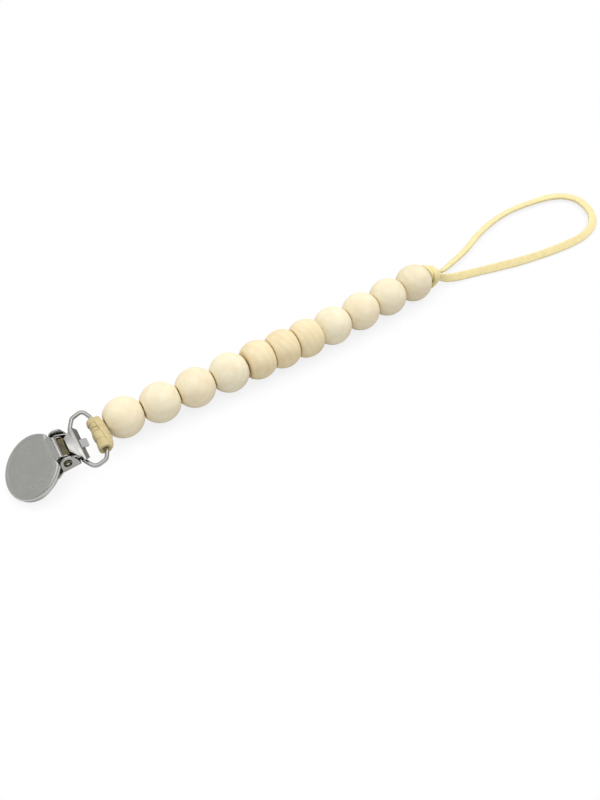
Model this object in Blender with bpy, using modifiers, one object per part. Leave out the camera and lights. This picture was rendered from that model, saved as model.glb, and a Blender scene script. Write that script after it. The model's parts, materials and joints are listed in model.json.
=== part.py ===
# A soother chain: a sprung metal clip, a wire ring, eleven wooden beads on a flat cord, and a loop.
# Metres, +Z up. +X runs from the clip along the beads to the loop, as the chain lies on a table.
import math

import bmesh
import bpy
from mathutils import Matrix, Vector

MM = 0.001
WELD = 0.01 * MM
OVERRUN = 4.0 * MM
FIT_GAP = 0.3 * MM

# Where the ring's outer bar lies, from the cord's first joint, and how the clip is turned.
HITCH_PLACE = (-4.15 * MM, -4.70 * MM, 1.24 * MM)
CLIP_ROLL_DEG = 6.0
CLIP_TIP_DOWN_DEG = 10.0
CLIP_YAW_DEG = -5.0

# The base: a channel with two ears. Along and up are measured from the pin's centre.
SHEET = 0.7 * MM
EAR_OUTSIDE = 6.8 * MM
EAR_FRONT = 2.8 * MM
EAR_FRONT_DROP = 1.4 * MM
EAR_HEAD_RADIUS = 2.5 * MM
EAR_HEAD_OFFSET = 0.3 * MM
EAR_WAIST = 3.6 * MM
EAR_WAIST_DROP = 1.0 * MM
EAR_TAIL_GAP = 0.4 * MM
EAR_BOTTOM_STEP = 0.1 * MM
BASE_DEPTH = 5.0 * MM
BASE_HALF_WIDTH = 6.5 * MM
JAW_ROOT = 3.0 * MM
BACK_JAW_SLOPE_DEG = 12.9
BACK_JAW_RADIUS = 9.8 * MM
BACK_JAW_CENTRE = 12.8 * MM
CURL_HALF_WIDTH = 4.5 * MM
CURL_START_DEG = 205.0
CURL_END_DEG = 500.0

# The grip pad on the back jaw.
PAD_RADIUS = 8.6 * MM
PAD_FRONT = 18.5 * MM
PAD_REAR = 5.5 * MM
PAD_FRONT_THICKNESS = 0.9 * MM
PAD_REAR_THICKNESS = 2.0 * MM
PAD_TOOTH = 0.4 * MM
PAD_TEETH = 6

# The pin through the ears.
PIN_RADIUS = 0.95 * MM
PIN_HEAD_RADIUS = 1.6 * MM
PIN_HEAD_HEIGHT = 0.45 * MM
PIN_DISH_RADIUS = 0.8 * MM
PIN_DISH_DEPTH = 0.2 * MM

# The round face, a pressed cap over the front jaw.
FACE_RADIUS = 12.5 * MM
FACE_CENTRE = (-12.3 * MM, -1.0 * MM)
FACE_SLOPE_DEG = 23.3
FACE_WALL = 0.5 * MM
FACE_DEPTH = 2.7 * MM
FACE_EDGE_RADIUS = 0.8 * MM
FACE_LIP = 1.2 * MM
FACE_REAR = 3.05 * MM
TONGUE_REAR = 1.5 * MM
TONGUE_HALF_WIDTH = 5.5 * MM
TONGUE_STEP = 0.05 * MM
JAW_PLATE_RADIUS = FACE_RADIUS - FACE_WALL - FIT_GAP
JAW_PLATE_THICKNESS = 0.7 * MM
NECK_THICKNESS = 0.6 * MM
NECK_OUTSIDE = 4.7 * MM
ROOT_OVERLAP = 1.3 * MM
NECK_BEND = 1.35 * MM
NECK_END = (-0.35 * MM, 1.62 * MM)
FLANGE_RADIUS = 1.8 * MM

# The flip lever.
LEVER_SHEET = 0.7 * MM
LEVER_OUTSIDE = 5.75 * MM
LEVER_FRONT_HALF_WIDTH = 4.4 * MM
LEVER_FRONT = (2.3 * MM, 0.6 * MM)
LEVER_REAR = (6.8 * MM, -2.45 * MM)
LEVER_HEM = (7.05 * MM, -2.85 * MM)
LEVER_STEP = 5.3 * MM
LEVER_LIP_HALF_WIDTH = 7.6 * MM
LEVER_LIP_CORNER = 1.0 * MM
LEVER_ARM_DROP = 0.75 * MM
TAB_START = (6.0 * MM, -1.95 * MM)
TAB_END = (9.4 * MM, -3.0 * MM)
TAB_THICKNESS = 0.6 * MM
TAB_NEAR = -2.3 * MM
TAB_FAR = 1.4 * MM
TAB_CORNER = 0.8 * MM

# The wire ring, hinged in the curl of the base.
WIRE_RADIUS = 0.8 * MM
RING_DEPTH = 9.1 * MM
RING_CORNER_RADIUS = 2.0 * MM
# Corners of the bent wire: along from the bar in the curl, and across.
RING_CORNERS = (
    (0, -8.4 * MM),
    (2.7 * MM, -13.0 * MM),
    (7.6 * MM, -11.1 * MM),
    (RING_DEPTH, -7.9 * MM),
    (RING_DEPTH, 9.2 * MM),
    (7.3 * MM, 13.2 * MM),
    (2.6 * MM, 11.1 * MM),
    (0, 6.2 * MM),
)
RING_BAR_PLACE = (5.1 * MM, -4.2 * MM)
RING_SHIFT = 2.5 * MM
RING_DROOP_DEG = 17.6

# Beads.
BEAD_DIAMETER = 16.0 * MM
ROUND_BEAD_LENGTH = 14.6 * MM
FLAT_BEAD_LENGTH = 11.05 * MM
ROUND_BEAD_FACE_RADIUS = 3.7 * MM
FLAT_BEAD_FACE_RADIUS = 5.9 * MM
BEAD_BORE_RADIUS = 2.3 * MM
BEAD_RIM_FILLET = 0.55 * MM
BEAD_GAP = 0.5 * MM
BEAD_KINDS = ("round",) * 4 + ("flat",) * 3 + ("round",) * 4
# Sideways place of each joint between beads, as shares of a bead's diameter.
SWAY_SHARES = (0.094, 0.019, -0.025, -0.056, -0.072, -0.081, -0.1, -0.109, -0.081, -0.025, 0.041, 0.109)

# The flat cord. Inside the beads it lies double.
CORD_WIDTH = 3.5 * MM
CORD_THICKNESS = 1.5 * MM
CORD_CORNER = 0.6 * MM

# The hitch of the cord round the ring, where it is pulled narrow and thin.
HITCH_WIDTH = 3.0 * MM
HITCH_THICKNESS = 1.3 * MM
HITCH_TURN_GAP = 0.65 * MM
HITCH_NEAR_END = -7.2 * MM
HITCH_FAR_END = 8.4 * MM
BRIDGE_OVERLAP = 0.25 * MM
BRIDGE_HALF_LENGTH = 4.2 * MM
BRIDGE_RISE = 0.7 * MM

# The knot after the last bead.
KNOT_HALF_LENGTH = 2.5 * MM
KNOT_HALF_WIDTH = 4.4 * MM
KNOT_HALF_HEIGHT = 4.0 * MM
KNOT_DROP = 0.6 * MM
KNOT_WRAP_RADIUS = 3.65 * MM
KNOT_WRAP_THICKNESS = 2.8 * MM
KNOT_WRAPS = ((-0.35 * MM, 8.0, 6.0), (0.5 * MM, -16.0, -8.0))

# The loop's route in metres: along and across from the first bead, and up from the table.
LOOP_ROUTE = (
    (0.1535, 0.0025, 0.0076),
    (0.1552, 0.0029, 0.0070),
    (0.1575, 0.0036, 0.0056),
    (0.1603, 0.0046, 0.0038),
    (0.1640, 0.0061, 0.0025),
    (0.1690, 0.0079, 0.00185),
    (0.1792, 0.0111, 0.00185),
    (0.1932, 0.0171, 0.00185),
    (0.2054, 0.0208, 0.00185),
    (0.2161, 0.0225, 0.00185),
    (0.2254, 0.0225, 0.00185),
    (0.2336, 0.0217, 0.00185),
    (0.2424, 0.0202, 0.00185),
    (0.2491, 0.0168, 0.00185),
    (0.2527, 0.0109, 0.00185),
    (0.2520, 0.0037, 0.00185),
    (0.2488, -0.0027, 0.00185),
    (0.2431, -0.0079, 0.00185),
    (0.2344, -0.0111, 0.00185),
    (0.2249, -0.0118, 0.00185),
    (0.2118, -0.0109, 0.00185),
    (0.1966, -0.0087, 0.00185),
    (0.1824, -0.0054, 0.00185),
    (0.1710, -0.0026, 0.00185),
    (0.1655, -0.0015, 0.0021),
    (0.1615, -0.0011, 0.0029),
    (0.1580, -0.0008, 0.0041),
    (0.1552, -0.0003, 0.0055),
    (0.1535, 0.0001, 0.0065),
)

# Numbers of facets and points.
BEAD_STEPS = 20
BEAD_OUTLINE_POINTS = 9
FILLET_STEPS = 2
FACE_STEPS = 56
PIN_STEPS = 20
ARC_STEPS = 8
CORNER_STEPS = 4
DISC_STEPS = 56
WIRE_BEVEL_RESOLUTION = 2
CORD_BEVEL_RESOLUTION = 1
HITCH_POINTS_PER_TURN = 20
LOOP_STEPS = 3
KNOT_SEGMENTS = 18
KNOT_RINGS = 10
WRAP_SEGMENTS = 20
WRAP_SIDES = 8

# Turns that set an outline upright along Y, flat on the table, or across the chain.
SIDE = Matrix.Rotation(math.radians(90.0), 4, "X")
PLAN = Matrix.Identity(4)
END = Matrix(((0, 0, 1, 0), (1, 0, 0, 0), (0, 1, 0, 0), (0, 0, 0, 1)))

COLOURS = {
    "clip_steel": ((0.42, 0.41, 0.39), 0.38, 1.0),
    "face_steel": ((0.50, 0.49, 0.47), 0.32, 1.0),
    "pin_steel": ((0.36, 0.33, 0.30), 0.35, 1.0),
    "pad_plastic": ((0.80, 0.78, 0.72), 0.55, 0.0),
    "ring_wire": ((0.62, 0.61, 0.59), 0.22, 1.0),
    "pale_wood": ((0.82, 0.69, 0.51), 0.62, 0.0),
    "tan_wood": ((0.76, 0.60, 0.41), 0.62, 0.0),
    "hitch_suede": ((0.52, 0.44, 0.28), 0.9, 0.0),
    "loop_suede": ((0.78, 0.68, 0.45), 0.9, 0.0),
}


def clear_scene():
    for obj in list(bpy.data.objects):
        bpy.data.objects.remove(obj, do_unlink=True)


def make_collection(name):
    collection = bpy.data.collections.new(name)
    bpy.context.scene.collection.children.link(collection)
    return collection


def make_material(name):
    colour, roughness, metallic = COLOURS[name]
    material = bpy.data.materials.new(name)
    material.use_nodes = True
    shader = material.node_tree.nodes["Principled BSDF"]
    shader.inputs["Base Color"].default_value = (*colour, 1.0)
    shader.inputs["Roughness"].default_value = roughness
    shader.inputs["Metallic"].default_value = metallic
    material.diffuse_color = (*colour, 1.0)
    return material


def keep_parent(child, parent):
    bpy.context.view_layer.update()
    child.parent = parent
    child.matrix_parent_inverse = parent.matrix_world.inverted()
    bpy.context.view_layer.update()


def make_empty(name, matrix, parent=None):
    empty = bpy.data.objects.new(name, None)
    empty.empty_display_size = BEAD_DIAMETER / 2
    PARTS.objects.link(empty)
    empty.matrix_world = matrix
    if parent:
        keep_parent(empty, parent)
    return empty


def make_part(name, mesh, material, frame):
    # A sub-part whose mesh is drawn in its frame's own axes.
    part = bpy.data.objects.new(name, mesh)
    mesh.materials.clear()
    mesh.materials.append(MATERIALS[material])
    PARTS.objects.link(part)
    part.parent = frame
    mesh.shade_smooth()
    mesh.set_sharp_from_angle(angle=math.radians(35.0))
    return part


def make_cutter(name, mesh, frame):
    cutter = bpy.data.objects.new(name, mesh)
    CUTTERS.objects.link(cutter)
    cutter.parent = frame
    cutter.hide_render = True
    cutter.display_type = "WIRE"
    return cutter


def combine(part, other, operation):
    modifier = part.modifiers.new(other.name, "BOOLEAN")
    modifier.operation = operation
    modifier.solver = "EXACT"
    modifier.object = other


def weld(mesh):
    shape = bmesh.new()
    shape.from_mesh(mesh)
    bmesh.ops.remove_doubles(shape, verts=shape.verts, dist=WELD)
    bmesh.ops.recalc_face_normals(shape, faces=shape.faces)
    shape.to_mesh(mesh)
    shape.free()


def mesh_from_curve(curve, matrix):
    guide = bpy.data.objects.new(curve.name, curve)
    CUTTERS.objects.link(guide)
    bpy.context.view_layer.update()
    drawn = guide.evaluated_get(bpy.context.evaluated_depsgraph_get())
    mesh = bpy.data.meshes.new_from_object(drawn)
    mesh.name = curve.name
    mesh.transform(matrix)
    weld(mesh)
    bpy.data.objects.remove(guide, do_unlink=True)
    return mesh


def prism(name, outline, low, high, turn):
    # A flat outline given a thickness from low to high, square to the outline.
    curve = bpy.data.curves.new(name, "CURVE")
    curve.dimensions = "2D"
    curve.fill_mode = "BOTH"
    curve.extrude = (high - low) / 2
    spline = curve.splines.new("POLY")
    spline.points.add(len(outline) - 1)
    for point, (along, up) in zip(spline.points, outline):
        point.co = (along, up, 0, 1)
    spline.use_cyclic_u = True
    middle = (low + high) / 2
    if turn is SIDE:
        middle = -middle
    return mesh_from_curve(curve, turn @ Matrix.Translation((0, 0, middle)))


def tape(name, points, width, thickness):
    # A flat cord through the points, its width as near upright as it can be.
    curve = bpy.data.curves.new(name, "CURVE")
    curve.dimensions = "3D"
    curve.twist_mode = "Z_UP"
    curve.fill_mode = "FULL"
    curve.bevel_depth = thickness / 2
    curve.extrude = (width - thickness) / 2
    curve.bevel_resolution = CORD_BEVEL_RESOLUTION
    curve.use_fill_caps = True
    spline = curve.splines.new("POLY")
    spline.points.add(len(points) - 1)
    for point, place in zip(spline.points, points):
        point.co = (*place, 1)
    return curve


def turned_mesh(name, profile, closed):
    # A profile of (radius, height) points, for a Screw modifier round Z.
    shape = bmesh.new()
    verts = [shape.verts.new((radius, 0, height)) for radius, height in profile]
    for first, second in zip(verts, verts[1:]):
        shape.edges.new((first, second))
    if closed:
        shape.edges.new((verts[-1], verts[0]))
    mesh = bpy.data.meshes.new(name)
    shape.to_mesh(mesh)
    shape.free()
    return mesh


def add_screw(part, steps):
    screw = part.modifiers.new("turn", "SCREW")
    screw.axis = "Z"
    screw.steps = steps
    screw.render_steps = steps
    screw.use_merge_vertices = True
    screw.merge_threshold = WELD
    screw.use_smooth_shade = True


def cylinder_mesh(name, radius, low, high, steps, turn=PLAN):
    shape = bmesh.new()
    bmesh.ops.create_cone(
        shape,
        cap_ends=True,
        segments=steps,
        radius1=radius,
        radius2=radius,
        depth=high - low,
    )
    mesh = bpy.data.meshes.new(name)
    shape.to_mesh(mesh)
    shape.free()
    mesh.transform(turn @ Matrix.Translation((0, 0, (low + high) / 2)))
    return mesh


def arc(centre, radius, start_deg, end_deg, steps=ARC_STEPS):
    points = []
    for index in range(steps + 1):
        angle = math.radians(start_deg + (end_deg - start_deg) * index / steps)
        points.append((centre[0] + radius * math.cos(angle), centre[1] + radius * math.sin(angle)))
    return points


def thickened(path, thickness):
    # The outline of a bent sheet whose middle follows the path, with mitred bends.
    normals = []
    for (x0, z0), (x1, z1) in zip(path, path[1:]):
        normals.append(Vector((z0 - z1, x1 - x0)).normalized())
    left = []
    right = []
    for index, point in enumerate(path):
        before = normals[max(index - 1, 0)]
        after = normals[min(index, len(normals) - 1)]
        mitre = (before + after) / (1.0 + before.dot(after))
        offset = mitre * thickness / 2
        left.append((point[0] + offset.x, point[1] + offset.y))
        right.append((point[0] - offset.x, point[1] - offset.y))
    return left + right[::-1]


def rounded(corners, radius):
    # A closed outline whose corners are rounded by arcs that touch both of their sides.
    points = []
    for index, corner in enumerate(corners):
        here = Vector(corner)
        before = (Vector(corners[index - 1]) - here).normalized()
        after = (Vector(corners[(index + 1) % len(corners)]) - here).normalized()
        half = before.angle(after) / 2
        middle = here + (before + after).normalized() * radius / math.sin(half)
        start = here + before * radius / math.tan(half)
        sweep = (start - middle).angle_signed(here + after * radius / math.tan(half) - middle)
        for step in range(CORNER_STEPS + 1):
            spoke = start - middle
            spoke.rotate(Matrix.Rotation(-sweep * step / CORNER_STEPS, 2))
            points.append(tuple(middle + spoke))
    return points


def face_point(along, depth):
    # A point in the clip's side view: along the face towards its tip, and under its skin.
    slope = math.radians(FACE_SLOPE_DEG)
    x = FACE_CENTRE[0] - along * math.cos(slope) + depth * math.sin(slope)
    z = FACE_CENTRE[1] - along * math.sin(slope) - depth * math.cos(slope)
    return (x, z)


def face_turn(depth):
    x, z = face_point(0, depth)
    return Matrix.Translation((x, 0, z)) @ Matrix.Rotation(-math.radians(FACE_SLOPE_DEG), 4, "Y")


def face_along(x, depth):
    # How far along the face a point of the side view lies, where its depth and X are known.
    slope = math.radians(FACE_SLOPE_DEG)
    return (FACE_CENTRE[0] + depth * math.sin(slope) - x) / math.cos(slope)


def back_jaw_height(x, above):
    # Height of a line that runs above the middle of the back jaw's sheet.
    slope = math.radians(BACK_JAW_SLOPE_DEG)
    middle = SHEET / 2 - BASE_DEPTH
    return middle + (x + JAW_ROOT) * math.tan(slope) + above / math.cos(slope)


def pin_hole_cutter(name, frame):
    reach = EAR_OUTSIDE + OVERRUN
    hole = cylinder_mesh(name, PIN_RADIUS + FIT_GAP, -reach, reach, PIN_STEPS, SIDE)
    return make_cutter(name, hole, frame)


def make_base_plate(frame):
    middle = SHEET / 2 - BASE_DEPTH
    tip = -BACK_JAW_CENTRE - BACK_JAW_RADIUS - OVERRUN
    curl_middle = WIRE_RADIUS + FIT_GAP + SHEET / 2
    floor_end = RING_BAR_PLACE[0] - WIRE_RADIUS - EAR_TAIL_GAP
    path = [(tip, back_jaw_height(tip, 0)), (-JAW_ROOT, middle), (floor_end - 2 * SHEET, middle)]
    path += arc(RING_BAR_PLACE, curl_middle, CURL_START_DEG, CURL_END_DEG, 2 * ARC_STEPS)
    half = BACK_JAW_RADIUS + OVERRUN
    strip = prism("base_plate", thickened(path, SHEET), -half, half, SIDE)
    plate = make_part("base_plate", strip, "clip_steel", frame)
    shoulder = math.degrees(math.asin(BASE_HALF_WIDTH / BACK_JAW_RADIUS))
    curl_end = RING_BAR_PLACE[0] + curl_middle + SHEET
    plan = arc((-BACK_JAW_CENTRE, 0), BACK_JAW_RADIUS, shoulder, 360.0 - shoulder, 5 * ARC_STEPS)
    plan += [(floor_end, -BASE_HALF_WIDTH), (floor_end, -CURL_HALF_WIDTH)]
    plan += [(curl_end, -CURL_HALF_WIDTH), (curl_end, CURL_HALF_WIDTH)]
    plan += [(floor_end, CURL_HALF_WIDTH), (floor_end, BASE_HALF_WIDTH)]
    outline = prism("base_plan", plan, -BACK_JAW_CENTRE - OVERRUN, OVERRUN, PLAN)
    combine(plate, make_cutter("base_plan", outline, frame), "INTERSECT")
    head = (EAR_HEAD_OFFSET, EAR_HEAD_OFFSET)
    bottom = EAR_BOTTOM_STEP - BASE_DEPTH
    ear = [(-EAR_FRONT, bottom), (floor_end, bottom), (floor_end, RING_BAR_PLACE[1])]
    ear += [(EAR_WAIST, -EAR_WAIST_DROP)]
    ear += arc(head, EAR_HEAD_RADIUS, 0.0, 180.0, 2 * ARC_STEPS)
    ear += [(-EAR_FRONT, -EAR_FRONT_DROP)]
    for side in (-1, 1):
        name = "near_ear" if side < 0 else "far_ear"
        edges = sorted((side * EAR_OUTSIDE, side * (EAR_OUTSIDE - SHEET)))
        combine(plate, make_cutter(name, prism(name, ear, *edges, SIDE), frame), "UNION")
    combine(plate, pin_hole_cutter("ear_holes", frame), "DIFFERENCE")


def make_grip_pad(frame):
    # A wedge of plastic on the back jaw, with teeth across it.
    under = SHEET / 2 + FIT_GAP
    outline = [(-PAD_REAR, back_jaw_height(-PAD_REAR, under))]
    outline.append((-PAD_FRONT, back_jaw_height(-PAD_FRONT, under)))
    pitch = (PAD_FRONT - PAD_REAR) / PAD_TEETH
    for tooth in range(PAD_TEETH):
        start = -PAD_FRONT + tooth * pitch
        share = tooth / PAD_TEETH
        thick = PAD_FRONT_THICKNESS + (PAD_REAR_THICKNESS - PAD_FRONT_THICKNESS) * share
        outline.append((start, back_jaw_height(start, under + thick - PAD_TOOTH)))
        outline.append((start + pitch / 2, back_jaw_height(start + pitch / 2, under + thick)))
    outline.append((-PAD_REAR, back_jaw_height(-PAD_REAR, under + PAD_REAR_THICKNESS)))
    wedge = prism("grip_pad", outline, -PAD_RADIUS - OVERRUN, PAD_RADIUS + OVERRUN, SIDE)
    pad = make_part("grip_pad", wedge, "pad_plastic", frame)
    disc = cylinder_mesh("pad_disc", PAD_RADIUS, -2 * PAD_RADIUS, PAD_RADIUS, DISC_STEPS)
    disc.transform(Matrix.Translation((FACE_CENTRE[0], 0, 0)))
    combine(pad, make_cutter("pad_disc", disc, frame), "INTERSECT")


def make_pin(frame):
    seat = EAR_OUTSIDE + FIT_GAP
    top = seat + PIN_HEAD_HEIGHT
    half = [(0, top - PIN_DISH_DEPTH), (PIN_DISH_RADIUS, top - PIN_DISH_DEPTH)]
    half += [(PIN_DISH_RADIUS + PIN_DISH_DEPTH, top), (PIN_HEAD_RADIUS - PIN_DISH_DEPTH, top)]
    half += [(PIN_HEAD_RADIUS, top - PIN_DISH_DEPTH), (PIN_HEAD_RADIUS, seat), (PIN_RADIUS, seat)]
    profile = half + [(radius, -height) for radius, height in reversed(half)]
    pin = make_part("pivot_pin", turned_mesh("pivot_pin", profile, False), "pin_steel", frame)
    pin.rotation_euler.x = math.radians(90.0)
    add_screw(pin, PIN_STEPS)


def make_front_jaw(frame):
    middle = FACE_WALL + FIT_GAP + JAW_PLATE_THICKNESS / 2
    half = JAW_PLATE_THICKNESS / 2
    disc = cylinder_mesh("front_jaw", JAW_PLATE_RADIUS, -half, half, DISC_STEPS)
    disc.transform(face_turn(middle))
    jaw = make_part("front_jaw", disc, "clip_steel", frame)
    combine(jaw, rear_cutter("jaw_rear", frame), "DIFFERENCE")
    root = face_point(face_along(-FACE_REAR, middle) + ROOT_OVERLAP, middle)
    bend = face_point(face_along(-NECK_BEND, middle), middle)
    neck = thickened([root, bend, NECK_END], NECK_THICKNESS)
    strap = prism("neck", neck, -NECK_OUTSIDE, NECK_OUTSIDE, SIDE)
    combine(jaw, make_cutter("neck", strap, frame), "UNION")
    flange = arc((0, 0), FLANGE_RADIUS, 175.0, 460.0, 3 * ARC_STEPS) + [bend]
    for side in (-1, 1):
        name = "near_jaw_flange" if side < 0 else "far_jaw_flange"
        outer = NECK_OUTSIDE - NECK_THICKNESS / 10
        edges = sorted((side * outer, side * (outer - NECK_THICKNESS)))
        combine(jaw, make_cutter(name, prism(name, flange, *edges, SIDE), frame), "UNION")
    combine(jaw, pin_hole_cutter("jaw_holes", frame), "DIFFERENCE")


def rear_cutter(name, frame):
    # A block that trims the face and its plate straight in front of the ears.
    reach = 2 * FACE_RADIUS
    outline = [(-FACE_REAR, -reach), (reach, -reach), (reach, reach), (-FACE_REAR, reach)]
    return make_cutter(name, prism(name, outline, -reach, reach, SIDE), frame)


def make_face_cap(frame):
    inner_radius = FACE_RADIUS - FACE_WALL
    inner_edge = FACE_EDGE_RADIUS - FACE_WALL
    corner = FACE_RADIUS - FACE_EDGE_RADIUS
    profile = [(0, 0)]
    profile += arc((corner, -FACE_EDGE_RADIUS), FACE_EDGE_RADIUS, 90.0, 0.0, 2 * FILLET_STEPS)
    profile += [(FACE_RADIUS, -FACE_DEPTH), (FACE_RADIUS - FACE_LIP, -FACE_DEPTH)]
    profile += [(FACE_RADIUS - FACE_LIP, FACE_WALL - FACE_DEPTH)]
    profile += [(inner_radius, FACE_WALL - FACE_DEPTH)]
    profile += arc((corner, -FACE_EDGE_RADIUS), inner_edge, 0.0, 90.0, FILLET_STEPS)
    profile += [(0, -FACE_WALL)]
    cap = make_part("face_cap", turned_mesh("face_cap", profile, False), "face_steel", frame)
    cap.matrix_local = face_turn(0)
    add_screw(cap, FACE_STEPS)
    combine(cap, rear_cutter("cap_rear", frame), "DIFFERENCE")
    middle = FACE_WALL / 2 + TONGUE_STEP
    root = face_point(face_along(-FACE_REAR, middle) + ROOT_OVERLAP, middle)
    end = face_point(face_along(-TONGUE_REAR, middle), middle)
    tongue = thickened([root, end], FACE_WALL)
    flat = prism("tongue", tongue, -TONGUE_HALF_WIDTH, TONGUE_HALF_WIDTH, SIDE)
    combine(cap, make_cutter("tongue", flat, frame), "UNION")


def make_lever(frame):
    path = [LEVER_FRONT, LEVER_REAR, LEVER_HEM]
    reach = LEVER_LIP_HALF_WIDTH + OVERRUN
    strip = prism("flip_lever", thickened(path, LEVER_SHEET), -reach, reach, SIDE)
    lever = make_part("flip_lever", strip, "clip_steel", frame)
    end = LEVER_HEM[0] + LEVER_SHEET
    corner = LEVER_LIP_HALF_WIDTH - LEVER_LIP_CORNER
    plan = [(0, LEVER_FRONT_HALF_WIDTH), (0, -LEVER_FRONT_HALF_WIDTH)]
    plan += [(LEVER_FRONT[0], -LEVER_FRONT_HALF_WIDTH), (LEVER_STEP, -LEVER_OUTSIDE)]
    plan += [(LEVER_STEP, -LEVER_LIP_HALF_WIDTH)]
    plan += arc((end - LEVER_LIP_CORNER, -corner), LEVER_LIP_CORNER, 270.0, 360.0, FILLET_STEPS)
    plan += arc((end - LEVER_LIP_CORNER, corner), LEVER_LIP_CORNER, 0.0, 90.0, FILLET_STEPS)
    plan += [(LEVER_STEP, LEVER_LIP_HALF_WIDTH), (LEVER_STEP, LEVER_OUTSIDE)]
    plan += [(LEVER_FRONT[0], LEVER_FRONT_HALF_WIDTH)]
    outline = prism("lever_plan", plan, -reach, reach, PLAN)
    combine(lever, make_cutter("lever_plan", outline, frame), "INTERSECT")
    tab_end = TAB_END[0]
    tab = thickened([TAB_START, TAB_END], TAB_THICKNESS)
    tongue = make_cutter("tab", prism("tab", tab, TAB_NEAR, TAB_FAR, SIDE), frame)
    corners = [(0, TAB_NEAR), (tab_end - TAB_CORNER, TAB_NEAR), (tab_end, TAB_NEAR + TAB_CORNER)]
    corners += [(tab_end, TAB_FAR - TAB_CORNER), (tab_end - TAB_CORNER, TAB_FAR), (0, TAB_FAR)]
    rounding = make_cutter("tab_plan", prism("tab_plan", corners, -reach, reach, PLAN), frame)
    combine(tongue, rounding, "INTERSECT")
    combine(lever, tongue, "UNION")
    arm_end = LEVER_STEP - LEVER_SHEET / 2
    slope = (LEVER_REAR[1] - LEVER_FRONT[1]) / (LEVER_REAR[0] - LEVER_FRONT[0])
    arm_height = LEVER_FRONT[1] + slope * (arm_end - LEVER_FRONT[0])
    arm = arc((0, 0), FLANGE_RADIUS, 60.0, 300.0, 2 * ARC_STEPS)
    arm += [(arm_end, arm_height - LEVER_ARM_DROP), (arm_end, arm_height), LEVER_FRONT]
    for side in (-1, 1):
        name = "near_lever_flange" if side < 0 else "far_lever_flange"
        outer = LEVER_OUTSIDE - LEVER_SHEET / 10
        edges = sorted((side * outer, side * (outer - LEVER_SHEET)))
        combine(lever, make_cutter(name, prism(name, arm, *edges, SIDE), frame), "UNION")
    combine(lever, pin_hole_cutter("lever_holes", frame), "DIFFERENCE")


def make_ring(frame):
    # A bent wire loop. The frame's Y axis is the bar in the curl of the base.
    points = rounded(RING_CORNERS, RING_CORNER_RADIUS)
    curve = bpy.data.curves.new("ring", "CURVE")
    curve.dimensions = "3D"
    curve.bevel_depth = WIRE_RADIUS
    curve.bevel_resolution = WIRE_BEVEL_RESOLUTION
    spline = curve.splines.new("POLY")
    spline.points.add(len(points) - 1)
    for point, (along, across) in zip(spline.points, points):
        point.co = (along, across, 0, 1)
    spline.use_cyclic_u = True
    make_part("ring", mesh_from_curve(curve, PLAN), "ring_wire", frame)


def make_hitch(frame):
    # The cord's turns round the ring: a helix of tape about the frame's Y axis, and a bridge.
    radius = WIRE_RADIUS + FIT_GAP + HITCH_THICKNESS / 2
    pitch = HITCH_WIDTH + HITCH_TURN_GAP
    start = HITCH_NEAR_END + HITCH_WIDTH / 2
    turns = (HITCH_FAR_END - HITCH_NEAR_END - HITCH_WIDTH) / pitch
    count = math.ceil(turns * HITCH_POINTS_PER_TURN)
    points = []
    for index in range(count + 1):
        share = index / count
        angle = 2 * math.pi * turns * share
        points.append(Vector((radius * math.cos(angle), radius * math.sin(angle), start + pitch * turns * share)))
    spans = []
    for index, first in enumerate(points):
        for second in points[index + HITCH_POINTS_PER_TURN // 2:]:
            spans.append((first - second).length)
    print(f"Least gap between the hitch's turns: {(min(spans) - HITCH_WIDTH) / MM:.2f} mm")
    lie = Matrix.Rotation(math.radians(-90.0), 4, "X")
    curve = tape("ring_hitch", points, HITCH_WIDTH, HITCH_THICKNESS)
    hitch = make_part("ring_hitch", mesh_from_curve(curve, lie), "hitch_suede", frame)
    out = radius + HITCH_THICKNESS / 2 + CORD_THICKNESS / 2 - BRIDGE_OVERLAP
    ends = [(out, -BRIDGE_HALF_LENGTH, -BRIDGE_RISE), (out, 0, 0), (out, BRIDGE_HALF_LENGTH, BRIDGE_RISE)]
    bridge = mesh_from_curve(tape("bridge", ends, HITCH_WIDTH, CORD_THICKNESS), PLAN)
    combine(hitch, make_cutter("bridge", bridge, frame), "UNION")


def bead_length(kind):
    return ROUND_BEAD_LENGTH if kind == "round" else FLAT_BEAD_LENGTH


def bead_profile(kind):
    # An ellipse from one flat face to the other, round fillets, and the bore.
    length = bead_length(kind)
    face = ROUND_BEAD_FACE_RADIUS if kind == "round" else FLAT_BEAD_FACE_RADIUS
    radius = BEAD_DIAMETER / 2
    rim = BEAD_BORE_RADIUS + BEAD_RIM_FILLET
    limit = math.acos(face / radius)
    reach = length / 2 / math.sin(limit)
    profile = []
    for index in range(BEAD_OUTLINE_POINTS):
        angle = limit - 2 * limit * index / (BEAD_OUTLINE_POINTS - 1)
        profile.append((radius * math.cos(angle), reach * math.sin(angle)))
    centre = length / 2 - BEAD_RIM_FILLET
    fillet = arc((rim, -centre), BEAD_RIM_FILLET, 270.0, 180.0, FILLET_STEPS)
    profile += fillet
    profile += [(r, -h) for r, h in reversed(fillet)]
    return profile


def joint_places():
    # Points on the cord between the beads, where it bends.
    places = []
    along = -(bead_length(BEAD_KINDS[0]) + BEAD_GAP) / 2
    for index, share in enumerate(SWAY_SHARES):
        places.append(Vector((along, share * BEAD_DIAMETER, BEAD_DIAMETER / 2)))
        if index < len(BEAD_KINDS):
            along += bead_length(BEAD_KINDS[index]) + BEAD_GAP
    return places


def heading(first, second):
    return math.atan2(second.y - first.y, second.x - first.x)


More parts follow.
